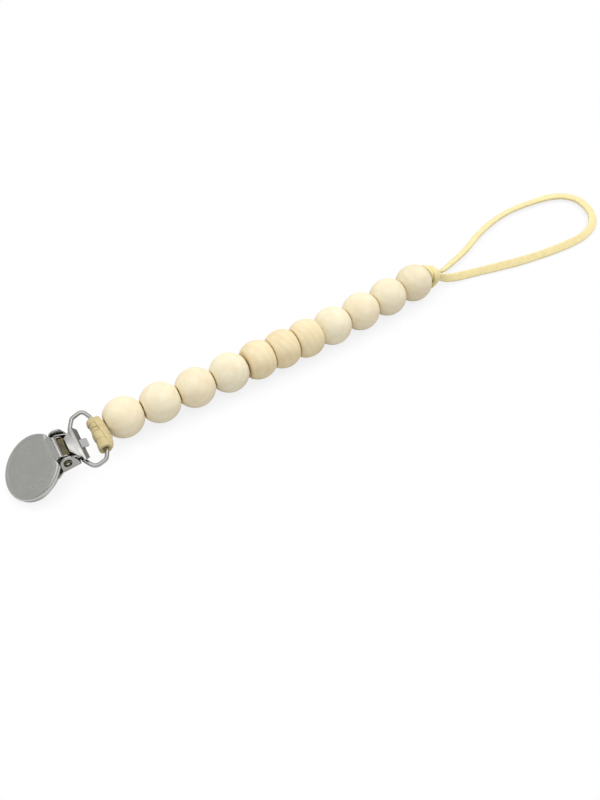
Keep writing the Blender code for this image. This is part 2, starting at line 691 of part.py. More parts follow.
def make_link(number, length, frame):
    # The doubled cord inside one bead.
    across = CORD_THICKNESS - CORD_CORNER
    height = CORD_WIDTH / 2 - CORD_CORNER
    outline = []
    for quarter, (side, up) in enumerate(((1, 1), (-1, 1), (-1, -1), (1, -1))):
        start = 90.0 * quarter
        outline += arc((side * across, up * height), CORD_CORNER, start, start + 90.0, FILLET_STEPS)
    name = f"cord_link_{number}"
    mesh = prism(name, outline, FIT_GAP / 2, length - FIT_GAP / 2, END)
    make_part(name, mesh, "hitch_suede", frame)


def make_bead(number, kind, mesh, frame):
    bead = make_part(f"bead_{number}", mesh, "pale_wood" if kind == "round" else "tan_wood", frame)
    bead.rotation_euler.y = math.radians(90.0)
    add_screw(bead, BEAD_STEPS)


def make_beads(parent):
    # Each bead turns on its own stretch of cord, which bends where it meets the last one.
    places = joint_places()
    meshes = {kind: turned_mesh(f"{kind}_bead", bead_profile(kind), True) for kind in ("round", "flat")}
    for index, kind in enumerate(BEAD_KINDS):
        first = places[index]
        second = places[index + 1]
        turn = Matrix.Rotation(heading(first, second), 4, "Z")
        bend = make_empty(f"bend_{index + 1}", Matrix.Translation(first) @ turn, parent)
        spin = make_empty(f"spin_{index + 1}", Matrix.Translation((first + second) / 2) @ turn, bend)
        make_link(index + 1, (second - first).length, bend)
        make_bead(index + 1, kind, meshes[kind], spin)
        parent = bend
    turn = Matrix.Rotation(heading(places[-2], places[-1]), 4, "Z")
    return make_empty("knot_bend", Matrix.Translation(places[-1]) @ turn, parent)


def make_knot(frame):
    shape = bmesh.new()
    bmesh.ops.create_uvsphere(shape, u_segments=KNOT_SEGMENTS, v_segments=KNOT_RINGS, radius=1)
    mesh = bpy.data.meshes.new("loop_knot")
    shape.to_mesh(mesh)
    shape.free()
    centre = Matrix.Translation((BEAD_GAP / 2 + KNOT_HALF_LENGTH, 0, -KNOT_DROP))
    mesh.transform(centre @ Matrix.Diagonal((KNOT_HALF_LENGTH, KNOT_HALF_WIDTH, KNOT_HALF_HEIGHT, 1)))
    knot = make_part("loop_knot", mesh, "loop_suede", frame)
    for index, (along, yaw_deg, tilt_deg) in enumerate(KNOT_WRAPS):
        ring = bpy.data.curves.new(f"wrap_{index + 1}", "CURVE")
        ring.dimensions = "3D"
        ring.bevel_depth = KNOT_WRAP_THICKNESS / 2
        ring.bevel_resolution = (WRAP_SIDES - 4) // 2
        spline = ring.splines.new("POLY")
        circle = arc((0, 0), KNOT_WRAP_RADIUS, 0.0, 360.0, WRAP_SEGMENTS)[:-1]
        spline.points.add(len(circle) - 1)
        for point, (across, up) in zip(spline.points, circle):
            point.co = (0, across, up, 1)
        spline.use_cyclic_u = True
        yaw = Matrix.Rotation(math.radians(yaw_deg), 4, "Z")
        tilt = Matrix.Rotation(math.radians(tilt_deg), 4, "Y")
        place = centre @ Matrix.Translation((along, 0, 0)) @ yaw @ tilt
        combine(knot, make_cutter(ring.name, mesh_from_curve(ring, place), frame), "UNION")


def smooth_route(route, steps):
    # A smooth curve through the route's points, with evenly many steps between each two.
    points = [Vector(place) for place in route]
    padded = [points[0] * 2 - points[1], *points, points[-1] * 2 - points[-2]]
    smooth = []
    for p0, p1, p2, p3 in zip(padded, padded[1:], padded[2:], padded[3:]):
        for index in range(steps):
            t = index / steps
            pull = (p2 - p0) * t + (p0 * 2 - p1 * 5 + p2 * 4 - p3) * t**2
            smooth.append(p1 + (pull + (p1 * 3 - p0 - p2 * 3 + p3) * t**3) / 2)
    smooth.append(points[-1])
    return smooth


def make_loop(frame):
    points = smooth_route(LOOP_ROUTE, LOOP_STEPS)
    mesh = mesh_from_curve(tape("loop_cord", points, CORD_WIDTH, CORD_THICKNESS), PLAN)
    loop = make_part("loop_cord", mesh, "loop_suede", None)
    keep_parent(loop, frame)
    length = sum((second - first).length for first, second in zip(points, points[1:]))
    print(f"Loop cord length: {length:.4f} m")


def seat_on_table(root):
    # Moves the whole chain so that its box without the loop stands centred on the origin.
    bpy.context.view_layer.update()
    graph = bpy.context.evaluated_depsgraph_get()
    low = Vector((math.inf,) * 3)
    high = -low
    for obj in PARTS.objects:
        if obj.type != "MESH" or obj.name == "loop_cord":
            continue
        drawn = obj.evaluated_get(graph)
        for corner in drawn.data.vertices:
            place = drawn.matrix_world @ corner.co
            low = Vector(map(min, low, place))
            high = Vector(map(max, high, place))
    root.location = (-(low.x + high.x) / 2, -(low.y + high.y) / 2, -low.z)
    bpy.context.view_layer.update()
    shift = ", ".join(f"{value / MM:.3f}" for value in root.location)
    print(f"Shift from the first bead's place to the origin, mm: {shift}")


def build():
    root = make_empty("chain_origin", Matrix.Identity(4))
    turns = (CLIP_ROLL_DEG, -CLIP_TIP_DOWN_DEG, CLIP_YAW_DEG)
    lie = Matrix.Identity(4)
    for turn_deg, axis in zip(turns, "XYZ"):
        lie = Matrix.Rotation(math.radians(turn_deg), 4, axis) @ lie
    bar = Matrix.Translation((RING_BAR_PLACE[0], RING_SHIFT, RING_BAR_PLACE[1]))
    droop = Matrix.Rotation(math.radians(RING_DROOP_DEG), 4, "Y")
    ring_turn = bar @ droop
    outer_bar = Matrix.Translation((RING_DEPTH, 0, 0))
    reach = (lie @ ring_turn @ outer_bar).translation
    pin = Matrix.Translation(joint_places()[0] + Vector(HITCH_PLACE) - reach) @ lie
    clip = make_empty("clip_frame", pin, root)
    make_base_plate(clip)
    make_grip_pad(clip)
    make_pin(clip)
    jaw = make_empty("front_jaw_axis", pin, clip)
    make_front_jaw(jaw)
    make_face_cap(jaw)
    make_lever(make_empty("lever_axis", pin, clip))
    ring = make_empty("ring_axis", pin @ ring_turn, clip)
    make_ring(ring)
    hitch = make_empty("hitch_axis", pin @ ring_turn @ outer_bar, ring)
    make_hitch(hitch)
    knot = make_beads(hitch)
    make_knot(knot)
    make_loop(knot)
    seat_on_table(root)


clear_scene()
PARTS = make_collection("soother_chain")
CUTTERS = make_collection("cutters")
MATERIALS = {name: make_material(name) for name in COLOURS}
build()
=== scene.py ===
# The looks of a soother chain: a metal clip, a wire ring, wooden beads on a suede cord, and a loop.
# Lengths are in millimetres until a mesh is made, where they become metres in the row frame.
import json
import math

import bmesh
import bpy
import numpy as np
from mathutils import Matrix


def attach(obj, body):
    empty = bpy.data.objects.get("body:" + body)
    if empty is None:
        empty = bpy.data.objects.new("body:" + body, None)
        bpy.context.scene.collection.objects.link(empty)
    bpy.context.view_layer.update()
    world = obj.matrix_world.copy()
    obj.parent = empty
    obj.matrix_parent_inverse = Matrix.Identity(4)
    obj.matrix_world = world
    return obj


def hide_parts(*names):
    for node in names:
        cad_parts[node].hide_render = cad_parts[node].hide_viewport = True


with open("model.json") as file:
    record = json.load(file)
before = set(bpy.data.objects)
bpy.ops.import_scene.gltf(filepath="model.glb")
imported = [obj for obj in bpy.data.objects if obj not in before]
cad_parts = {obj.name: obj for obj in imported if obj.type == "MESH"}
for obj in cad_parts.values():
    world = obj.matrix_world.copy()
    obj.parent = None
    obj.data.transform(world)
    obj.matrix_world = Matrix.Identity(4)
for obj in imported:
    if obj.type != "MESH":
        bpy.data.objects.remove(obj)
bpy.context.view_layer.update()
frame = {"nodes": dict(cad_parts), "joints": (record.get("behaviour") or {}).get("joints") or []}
joints = {joint["name"]: joint for joint in frame["joints"]}
mm = 0.001
print("frame loaded")


# Camera, first of all.
cameraView = {
    "position": (-113.03, -210.10, 258.10),
    "tiltDeg": 41.45,
    "headingDeg": -33.37,
    "lens": 38.79,
    "sensorWidth": 36.0,
    "clipStart": 5.0,
    "clipEnd": 20000.0,
}


def makeCamera(view):
    # A camera that looks down by the tilt and turns by the heading.
    camera = bpy.data.cameras.new("camera")
    camera.sensor_width = view["sensorWidth"]
    camera.lens = view["lens"]
    camera.clip_start = view["clipStart"] * mm
    camera.clip_end = view["clipEnd"] * mm
    holder = bpy.data.objects.new("camera", camera)
    holder.location = [value * mm for value in view["position"]]
    holder.rotation_euler = (math.radians(view["tiltDeg"]), 0.0, math.radians(view["headingDeg"]))
    bpy.context.scene.collection.objects.link(holder)
    bpy.context.scene.camera = holder


makeCamera(cameraView)


# Tools for shapes. A shell is an array of points with a list of faces.
def turnAbout(axis, degrees):
    # The right-hand turn about X, Y or Z as a 3 by 3 matrix.
    c, s = math.cos(math.radians(degrees)), math.sin(math.radians(degrees))
    rows = {
        "x": ((1, 0, 0), (0, c, -s), (0, s, c)),
        "y": ((c, 0, s), (0, 1, 0), (-s, 0, c)),
        "z": ((c, -s, 0), (s, c, 0), (0, 0, 1)),
    }
    return np.array(rows[axis], float)


def unit(vectors):
    # Each vector divided by its own length, where it has one.
    vectors = np.asarray(vectors, float)
    return vectors / np.maximum(np.linalg.norm(vectors, axis=-1, keepdims=True), 1e-12)


def moved(shell, turn, origin):
    # Origin plus the turned points: from a piece's own axes to its parent's.
    points, faces = shell
    return points @ turn.T + np.asarray(origin, float), faces


def mirrored(profile):
    # A profile of (across, height) points from the top, followed by its mirror image below.
    return profile + [(across, -height) for across, height in reversed(profile)]


def gridFaces(rows, columns, closedRows=False, closedColumns=False):
    # Quads between neighbours of a grid of points numbered row by row.
    faces = []
    for i in range(rows if closedRows else rows - 1):
        for j in range(columns if closedColumns else columns - 1):
            a, b = i * columns + j, i * columns + (j + 1) % columns
            below = ((i + 1) % rows) * columns
            faces.append((a, b, below + (j + 1) % columns, below + j))
    return faces


def endFaces(rows, columns):
    # One face over the first and one over the last row of closed rings.
    last = (rows - 1) * columns
    return [tuple(range(columns)), tuple(last + k for k in reversed(range(columns)))]


def smoothPath(route, steps):
    # A cubic through the points: each span bends towards the points before and after it.
    route = np.asarray(route, float)
    padded = np.concatenate([[2 * route[0] - route[1]], route, [2 * route[-1] - route[-2]]])
    t = np.linspace(0, 1, steps, endpoint=False)[:, None]
    spans = []
    for p0, p1, p2, p3 in zip(padded, padded[1:], padded[2:], padded[3:]):
        pull = (p2 - p0) * t + (2 * p0 - 5 * p1 + 4 * p2 - p3) * t**2 + (3 * p1 - p0 - 3 * p2 + p3) * t**3
        spans.append(p1 + pull / 2)
    return np.concatenate([*spans, route[-1:]])


def roundedCorner(before, here, after, radius, most, steps):
    # A curve near the corner that touches both of its sides, at most the given share of them away.
    toBefore, toAfter = unit(before - here), unit(after - here)
    half = math.acos(np.clip(toBefore @ toAfter, -1, 1)) / 2
    shorter = min(np.linalg.norm(before - here), np.linalg.norm(after - here))
    reach = min(radius / math.tan(half), shorter * most)
    start, end = here + toBefore * reach, here + toAfter * reach
    return [(1 - t) ** 2 * start + 2 * t * (1 - t) * here + t**2 * end for t in np.linspace(0, 1, steps + 1)]


def bentPath(points, radius, steps=6):
    # A polyline whose inner corners are rounded.
    points = np.asarray(points, float)
    path = [points[0]]
    for before, here, after in zip(points, points[1:], points[2:]):
        path += roundedCorner(before, here, after, radius, most=0.45, steps=steps)
    path.append(points[-1])
    return np.array(path)


def roundedLoop(corners, radius, steps):
    # A closed outline whose corners are rounded.
    corners = np.asarray(corners, float)
    path = []
    for before, here, after in zip(np.roll(corners, 1, 0), corners, np.roll(corners, -1, 0)):
        path += roundedCorner(before, here, after, radius, most=0.48, steps=steps)
    return np.array(path)


def sweep(path, section, normals, closed=False, scales=None):
    # Point = path + width * (tangent x normal) + height * normal, for each point of the section.
    path = np.asarray(path, float)
    if closed:
        tangents = np.roll(path, -1, 0) - np.roll(path, 1, 0)
    else:
        tangents = np.gradient(path, axis=0)
    tangents = unit(tangents)
    normals = np.broadcast_to(np.asarray(normals, float), path.shape)
    sides = unit(np.cross(tangents, normals))
    ups = np.cross(sides, tangents)
    sections = np.broadcast_to(np.asarray(section, float), (len(path), len(section), 2)).copy()
    if scales is not None:
        sections *= np.asarray(scales, float).reshape(len(path), 1, -1)
    points = path[:, None] + sections[:, :, :1] * sides[:, None] + sections[:, :, 1:] * ups[:, None]
    faces = gridFaces(len(path), len(section), closed, True)
    if not closed:
        faces += endFaces(len(path), len(section))
    return points.reshape(-1, 3), faces


def cordSection(size):
    # The section of a flat cord.
    return roundedBox(size["width"], size["thickness"], size["corner"])


def flatCord(path, section, facing, widths):
    # A sweep whose section is as wide as the widths say, and as thick as it is drawn.
    return sweep(path, section, facing, scales=np.column_stack([widths, np.ones(len(path))]))


def roundedBox(width, height, radius, steps=3):
    # A rectangle whose corners are quarter circles.
    points = []
    for quarter, (side, up) in enumerate(((1, 1), (-1, 1), (-1, -1), (1, -1))):
        for step in range(steps + 1):
            angle = math.pi / 2 * (quarter + step / steps)
            points.append((
                side * (width / 2 - radius) + radius * math.cos(angle),
                up * (height / 2 - radius) + radius * math.sin(angle),
            ))
    return np.array(points)


def circle(radius, steps):
    # Points at even angles round the origin.
    angles = np.linspace(0, 2 * math.pi, steps, endpoint=False)
    return np.stack([radius * np.cos(angles), radius * np.sin(angles)], 1)


def arc(centre, radius, startDeg, endDeg, steps):
    # Centre plus radius at even angles from start to end.
    angles = np.radians(np.linspace(startDeg, endDeg, steps + 1))
    return [(centre[0] + radius * math.cos(a), centre[1] + radius * math.sin(a)) for a in angles]


def clippedDisc(radius, limit, corner, steps, cornerSteps=6):
    # A circle cut straight at a limit on +X, its two corners rounded.
    half = math.sqrt((radius - corner) ** 2 - (limit - corner) ** 2)
    turnDeg = math.degrees(math.atan2(half, limit - corner))
    points = arc((0, 0), radius, turnDeg, 360 - turnDeg, steps)
    points += arc((limit - corner, -half), corner, -turnDeg, 0, cornerSteps)[1:]
    points += arc((limit - corner, half), corner, 0, turnDeg, cornerSteps)[:-1]
    return points


def endedStrip(start, end, sides, cut, corner, steps, taper=0.0):
    # A strip from start to end: its two far corners are turned with the radius, and cut off past it.
    low, high = sides
    lower = arc((end - corner, low + cut), corner, -60, 0, steps)
    upper = arc((end - corner, high - cut), corner, 0, 60, steps)
    return [(start, low + taper), (end - cut, low), *lower, *upper, (end - cut, high), (start, high - taper)]


def stripGrid(path, halfWidths, columns=13, crown=0.0):
    # Point = (x, y, z): the path gives x and z, and y runs from side to side, in smaller steps at the edges.
    shares = np.sin(np.linspace(-math.pi / 2, math.pi / 2, columns))
    halfWidths = np.broadcast_to(np.asarray(halfWidths, float), len(path))
    grid = np.zeros((len(path), columns, 3))
    grid[..., 0] = path[:, :1]
    grid[..., 1] = halfWidths[:, None] * shares[None]
    grid[..., 2] = path[:, 1:] + crown * (1 - shares[None] ** 2)
    return grid


def sheetShell(middle, thickness, rim=0.12):
    # A bent sheet: its middle surface plus and minus half the thickness, with a rim pushed outward.
    rows, columns = middle.shape[:2]
    normals = unit(np.cross(np.gradient(middle, axis=0), np.gradient(middle, axis=1)))
    top = (middle + normals * thickness / 2).reshape(-1, 3)
    low = (middle - normals * thickness / 2).reshape(-1, 3)
    border = [(0, j) for j in range(columns)] + [(i, columns - 1) for i in range(1, rows)]
    border += [(rows - 1, j) for j in reversed(range(columns - 1))]
    border += [(i, 0) for i in reversed(range(1, rows - 1))]
    inner = [(min(max(i, 1), rows - 2), min(max(j, 1), columns - 2)) for i, j in border]
    edge = np.array([middle[place] for place in border])
    outward = unit(edge - np.array([middle[place] for place in inner]))
    points = np.concatenate([top, low, edge + outward * rim])
    count = rows * columns
    faces = gridFaces(rows, columns)
    faces += [tuple(count + k for k in reversed(face)) for face in gridFaces(rows, columns)]
    for k, (i, j) in enumerate(border):
        after = (k + 1) % len(border)
        a, b = i * columns + j, border[after][0] * columns + border[after][1]
        faces.append((b, a, 2 * count + k, 2 * count + after))
        faces.append((2 * count + after, 2 * count + k, count + a, count + b))
    return points, faces


def plateShell(outline, profile):
    # Rings of a flat outline, each inset and at a height as the profile says, closed at both ends.
    outline = np.asarray(outline, float)
    before, after = unit(outline - np.roll(outline, 1, 0)), unit(np.roll(outline, -1, 0) - outline)
    tangent = unit(before + after)
    area = np.sum(outline[:, 0] * np.roll(outline[:, 1], -1) - outline[:, 1] * np.roll(outline[:, 0], -1))
    outward = np.stack([tangent[:, 1], -tangent[:, 0]], 1) * np.sign(area)
    count = len(outline)
    rings = []
    for inset, height in profile:
        rings.append(np.column_stack([outline - outward * inset, np.full(count, height)]))
    return np.concatenate(rings), gridFaces(len(rings), count, False, True) + endFaces(len(rings), count)


# Inset and drop of a plate's rounded edge, as shares of its size.
plateEdgeShares = ((1.6, 0.0), (1.0, 0.0), (0.3, 0.3), (0.0, 1.0))


def edgedPlate(outline, thickness, edge):
    # A plate with softly rounded edges, its middle at height nought.
    profile = [(edge * inset, thickness / 2 - edge * drop) for inset, drop in plateEdgeShares]
    return plateShell(outline, mirrored(profile))


def latheShell(profile, steps):
    # Point = (r cos a, r sin a, height) for each (r, height) of the profile, with closed ends.
    angles = np.linspace(0, 2 * math.pi, steps, endpoint=False)
    rings = [
        np.column_stack([r * np.cos(angles), r * np.sin(angles), np.full(steps, height)])
        for r, height in profile
    ]
    return np.concatenate(rings), gridFaces(len(profile), steps, False, True) + endFaces(len(profile), steps)


def makePiece(name, shells, slotName, body, replaced=(), attributes=None, sharpDeg=42.0):
    # All shells in one mesh, in metres in the row frame, with its slot's material, riding on its body.
    points, faces, start = [], [], 0
    for shellPoints, shellFaces in shells:
        points.append(shellPoints)
        faces += [tuple(start + k for k in face) for face in shellFaces]
        start += len(shellPoints)
    mesh = bpy.data.meshes.new(name)
    mesh.from_pydata((np.concatenate(points) * mm).tolist(), [], faces)
    for key, values in (attributes or {}).items():
        layer = mesh.attributes.new(key, "FLOAT_VECTOR", "POINT")
        layer.data.foreach_set("vector", np.asarray(values, np.float32).ravel())
    shape = bmesh.new()
    shape.from_mesh(mesh)
    bmesh.ops.recalc_face_normals(shape, faces=shape.faces)
    shape.to_mesh(mesh)
    shape.free()
    mesh.shade_smooth()
    mesh.set_sharp_from_angle(angle=math.radians(sharpDeg))
    piece = bpy.data.objects.new(name, mesh)
    bpy.context.scene.collection.objects.link(piece)
    mesh.materials.append(materials[slotName])
    if replaced:
        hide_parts(*replaced)
    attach(piece, body)
    return piece


def jointPlace(name):
    # Where a joint lies, in millimetres.
    return np.array(joints[name]["pos_m"]) / mm


def cordHeading(number):
    # The turn of one stretch of cord, from the axis that its bead turns on.
    axis = np.array(joints[f"spin_{number}"]["axis"])
    return turnAbout("z", math.degrees(math.atan2(axis[1], axis[0])))


# Tools for materials.
def newMaterial(name):
    # An empty material with one Principled shader.
    material = bpy.data.materials.new(name)
    material.use_nodes = True
    tree = material.node_tree
    return material, tree, tree.nodes["Principled BSDF"]


def addNode(tree, kind, values=None, **settings):
    # One node; its values are numbers for its sockets, or sockets to link from.
    made = tree.nodes.new(kind)
    for key, value in settings.items():
        setattr(made, key, value)
    for key, value in (values or {}).items():
        if isinstance(value, bpy.types.NodeSocket):
            tree.links.new(value, made.inputs[key])
        else:
            made.inputs[key].default_value = value
    return made


def addMath(tree, operation, first, second):
    # One sum, product or choice of two numbers or sockets.
    return addNode(tree, "ShaderNodeMath", {0: first, 1: second}, operation=operation).outputs[0]


def noise(tree, vector, scale, detail, roughness):
    # Noise about one half, of the given scale in the vector's own unit.
    values = {"Vector": vector, "Scale": scale, "Detail": detail, "Roughness": roughness}
    return addNode(tree, "ShaderNodeTexNoise", values).outputs["Fac"]


def stretched(tree, vector, scale):
    # The vector times a scale of its own along each axis.
    return addNode(tree, "ShaderNodeMapping", {"Vector": vector, "Scale": scale}).outputs["Vector"]


def ramp(tree, factor, stops):
    # A colour ramp through (place, colour) stops.
    made = addNode(tree, "ShaderNodeValToRGB", {"Fac": factor})
    elements = made.color_ramp.elements
    while len(elements) < len(stops):
        elements.new(0.5)
    for element, (place, colour) in zip(elements, stops):
        element.position = place
        element.color = (*colour, 1.0)
    return made.outputs["Color"]


def grey(value):
    # The same value in red, green and blue.
    return (value, value, value)


def greyRamp(tree, factor, stops):
    # A colour ramp through (place, grey) stops.
    return ramp(tree, factor, [(place, grey(value)) for place, value in stops])


def blendColour(tree, factor, first, second, mode="MIX"):
    # The two colours mixed, or multiplied, by the factor.
    made = addNode(tree, "ShaderNodeMix", data_type="RGBA", blend_type=mode)
    for index, value in ((0, factor), (6, first), (7, second)):
        if isinstance(value, bpy.types.NodeSocket):
            tree.links.new(value, made.inputs[index])
        else:
            made.inputs[index].default_value = value if index == 0 else (*value, 1.0)
    return made.outputs[2]


def bump(tree, height, strength, distance):
    # A bump of the given height in metres.
    made = addNode(tree, "ShaderNodeBump", {"Height": height, "Strength": strength, "Distance": distance})
    return made.outputs["Normal"]


def objectVector(tree):
    # Places on the object, in metres.
    return addNode(tree, "ShaderNodeTexCoord").outputs["Object"]


def attributeVector(tree, name):
    # A vector kept at each point of the mesh.
    return addNode(tree, "ShaderNodeAttribute", attribute_name=name).outputs["Vector"]


# A noise is its scale, detail and roughness, a bump its strength and its height in metres, and stops
# are (place, grey), or (place, colour) for the specks. Wood goes by its grain, which is in millimetres.
woodLook = {
    "cloud": (0.14, 2.0, 0.55),
    "cloudStops": ((0.42, 0.0), (0.72, 0.55)),
    "rings": {"Scale": 0.11, "Distortion": 5.0, "Detail": 3.0, "Detail Scale": 0.5, "Detail Roughness": 0.6},
    "ringStops": ((0.2, 0.0), (0.95, 0.24)),
    "streaks": (1.9, 5.0, 0.7),
    "streakStretch": (1.0, 1.0, 0.09),
    "streakStops": ((0.32, 0.94), (0.62, 1.0)),
    "pores": (6.0, 2.0, 0.5),
    "poreStretch": (1.0, 1.0, 0.12),
    "poreStops": ((0.27, 0.93), (0.36, 1.0)),
    "specks": (0.9, 2.0, 0.5),
    "speckStops": ((0.20, (0.72, 0.63, 0.50)), (0.27, (1.0, 1.0, 1.0))),
    "roughnessStops": ((0.2, 0.62), (0.8, 0.74)),
    "gloss": 0.3,
    "bump": (0.25, 0.0001),
}


def makeWood(name, light, dark, look=woodLook):
    # Sanded wood: broad faint rings, fine streaks along the grain, small pores and a few specks.
    material, tree, shader = newMaterial(name)
    grain = attributeVector(tree, "grain")
    cloud = noise(tree, grain, *look["cloud"])
    bands = {"wave_type": "RINGS", "rings_direction": "Z"}
    rings = addNode(tree, "ShaderNodeTexWave", {"Vector": grain, **look["rings"]}, **bands).outputs["Fac"]
    streaks = noise(tree, stretched(tree, grain, look["streakStretch"]), *look["streaks"])
    pores = noise(tree, stretched(tree, grain, look["poreStretch"]), *look["pores"])
    specks = noise(tree, grain, *look["specks"])
    colour = blendColour(tree, greyRamp(tree, rings, look["ringStops"]), light, dark)
    colour = blendColour(tree, greyRamp(tree, cloud, look["cloudStops"]), colour, dark)
    for shade in (
        greyRamp(tree, streaks, look["streakStops"]),
        greyRamp(tree, pores, look["poreStops"]),
        ramp(tree, specks, look["speckStops"]),
        attributeVector(tree, "tint"),
    ):
        colour = blendColour(tree, 1.0, colour, shade, "MULTIPLY")
    tree.links.new(colour, shader.inputs["Base Color"])
    tree.links.new(greyRamp(tree, streaks, look["roughnessStops"]), shader.inputs["Roughness"])
    shader.inputs["Specular IOR Level"].default_value = look["gloss"]
    tree.links.new(bump(tree, streaks, *look["bump"]), shader.inputs["Normal"])
    return material


# Suede, over the object in metres.
suedeLook = {
    "mottle": (420.0, 4.0, 0.6),
    "mottleStops": ((0.35, 0.0), (0.7, 1.0)),
    "nap": (1800.0, 3.0, 0.6),
    "napStops": ((0.3, 0.9), (0.65, 1.0)),
    "roughness": 0.92,
    "gloss": 0.15,
    "sheen": 0.25,
    "bump": (0.35, 0.00012),
}


def makeSuede(name, light, dark, look=suedeLook):
    # Suede cord: mottled colour, a short nap and a soft sheen.
    material, tree, shader = newMaterial(name)
    place = objectVector(tree)
    mottle = noise(tree, place, *look["mottle"])
    nap = noise(tree, place, *look["nap"])
    colour = blendColour(tree, greyRamp(tree, mottle, look["mottleStops"]), light, dark)
    colour = blendColour(tree, 1.0, colour, greyRamp(tree, nap, look["napStops"]), "MULTIPLY")
    tree.links.new(colour, shader.inputs["Base Color"])
    shader.inputs["Roughness"].default_value = look["roughness"]
    shader.inputs["Specular IOR Level"].default_value = look["gloss"]
    shader.inputs["Sheen Weight"].default_value = look["sheen"]
    tree.links.new(bump(tree, nap, *look["bump"]), shader.inputs["Normal"])
    return material


# Plated steel, over the object in metres. The places are where on the cloud scuffs and polish begin and end.
steelLook = {
    "cloud": (160.0, 4.0, 0.6),
    "scuffPlaces": (0.35, 0.75),
    "polishPlaces": (0.3, 0.7),
    "scratches": (1.0, 3.0, 0.6),
    "scratchStretch": (500.0, 6000.0, 2500.0),
    "bump": (0.05, 0.00001),
}


def makeSteel(name, light, dark, polish, scuff, edgeTint, look=steelLook):
    # Plated steel: cloudy scuffs, fine scratches, a varying polish and a tint at glancing angles.
    material, tree, shader = newMaterial(name)
    place = objectVector(tree)
    cloud = noise(tree, place, *look["cloud"])
    scratches = noise(tree, stretched(tree, place, look["scratchStretch"]), *look["scratches"])
    scuffs = greyRamp(tree, cloud, tuple(zip(look["scuffPlaces"], (0.0, scuff))))
    tree.links.new(blendColour(tree, scuffs, light, dark), shader.inputs["Base Color"])
    shader.inputs["Metallic"].default_value = 1.0
    shader.inputs["Specular Tint"].default_value = (*grey(edgeTint), 1.0)
    rough = greyRamp(tree, cloud, tuple(zip(look["polishPlaces"], polish)))
    tree.links.new(rough, shader.inputs["Roughness"])
    tree.links.new(bump(tree, scratches, *look["bump"]), shader.inputs["Normal"])
    return material


# Plastic, over the object in metres.
plasticLook = {
    "grain": (1500.0, 2.0, 0.55),
    "grainStops": ((0.3, 0.92), (0.7, 1.0)),
    "roughness": 0.5,
    "bump": (0.15, 0.00005),
}


def makePlastic(name, colour, look=plasticLook):
    # Moulded plastic with a faint grain.
    material, tree, shader = newMaterial(name)
    grain = noise(tree, objectVector(tree), *look["grain"])
    colour = blendColour(tree, 1.0, colour, greyRamp(tree, grain, look["grainStops"]), "MULTIPLY")
    tree.links.new(colour, shader.inputs["Base Color"])
    shader.inputs["Roughness"].default_value = look["roughness"]
    tree.links.new(bump(tree, grain, *look["bump"]), shader.inputs["Normal"])
    return material


# Light and dark colour by slot; for steel also the roughness of bright and dull places, the share of
# scuffs, and the tint at glancing angles.
materials = {
    "clip_steel": makeSteel("clipSteel", (0.49, 0.485, 0.47), (0.41, 0.405, 0.38), (0.16, 0.28), 0.6, 1.0),
    "face_steel": makeSteel("faceSteel", (0.60, 0.605, 0.575), (0.54, 0.545, 0.505), (0.24, 0.34), 0.7, 1.0),
    # The pin is very dark brown: partly its own dark colour, partly painted shade for the grooves round its
    # heads and the gap between neck and lever.
    "pin_steel": makeSteel("pinSteel", (0.17, 0.145, 0.085), (0.08, 0.07, 0.045), (0.22, 0.36), 0.9, 1.0),
    "pad_plastic": makePlastic("padPlastic", (0.78, 0.76, 0.70)),
    # The ring wire's glancing tint of 0.3 darkens its edges: painted shade standing in for dark surroundings
    # seen in the wire.
    "ring_wire": makeSteel("ringWire", (0.57, 0.565, 0.55), (0.44, 0.435, 0.41), (0.06, 0.14), 0.5, 0.3),
    "pale_wood": makeWood("paleWood", (0.90, 0.815, 0.60), (0.80, 0.675, 0.455)),
    "tan_wood": makeWood("tanWood", (0.875, 0.755, 0.50), (0.74, 0.585, 0.34)),
    "hitch_suede": makeSuede("hitchSuede", (0.66, 0.55, 0.30), (0.54, 0.44, 0.22)),
    "loop_suede": makeSuede("loopSuede", (0.885, 0.765, 0.41), (0.81, 0.68, 0.345)),
}
print("materials made")


# The loop of cord, along the route of its solid.
loop = {
    "start": (-52.397, 3.099, 0.0),
    "width": 3.5,
    "thickness": 1.5,
    "corner": 0.55,
    "steps": 8,
    "length": 0.2228,
    "route": (
        (153.5, 2.5, 7.6), (155.2, 2.9, 7.0), (157.5, 3.6, 5.6), (160.3, 4.6, 3.8), (164.0, 6.1, 2.5),
        (169.0, 7.9, 1.85), (179.2, 11.1, 1.85), (193.2, 17.1, 1.85), (205.4, 20.8, 1.85),
        (216.1, 22.5, 1.85), (225.4, 22.5, 1.85), (233.6, 21.7, 1.85), (242.4, 20.2, 1.85),
        (249.1, 16.8, 1.85), (252.7, 10.9, 1.85),
        (252.0, 3.7, 1.85), (248.8, -2.7, 1.85), (243.1, -7.9, 1.85), (234.4, -11.1, 1.85),
        (224.9, -11.8, 1.85), (211.8, -10.9, 1.85), (196.6, -8.7, 1.85), (182.4, -5.4, 1.85),
        (171.0, -2.6, 1.85), (165.5, -1.5, 2.1), (161.5, -1.1, 2.9), (158.0, -0.8, 4.1), (155.2, -0.3, 5.5),
        (153.5, 0.1, 6.5),
    ),
    # Two more points at each end, inside the knot.
    "roots": (((150.6, 1.5, 8.0), (152.0, 2.0, 7.9)), ((152.0, 0.6, 7.0), (150.6, 1.4, 7.4))),
    # Lean of the cord in degrees by the number of the route's point: above nought its inner side looks up.
    "lean": (
        (0, -40), (3, -52), (5, -60), (8, -70), (11, -78), (13, -90), (14.5, -90), (16, -78), (17.5, -64),
        (19, -54), (24, -48), (26, -30), (28, -8),
    ),
    # How far it hangs there, and its width as a share of the whole.
    "sag": ((-1, 1.3), (0, 1.3), (2, 0.9), (4, 0.0), (28, 0.0)),
    "widths": ((0, 1.0), (10, 1.0), (12, 1.15), (15, 1.15), (18, 1.12), (25, 1.1), (28, 1.0)),
    # Share, pace and phase of each slight wave of the width.
    "waves": ((0.02, 2.7, 0.0), (0.015, 6.6, 1.0)),
}


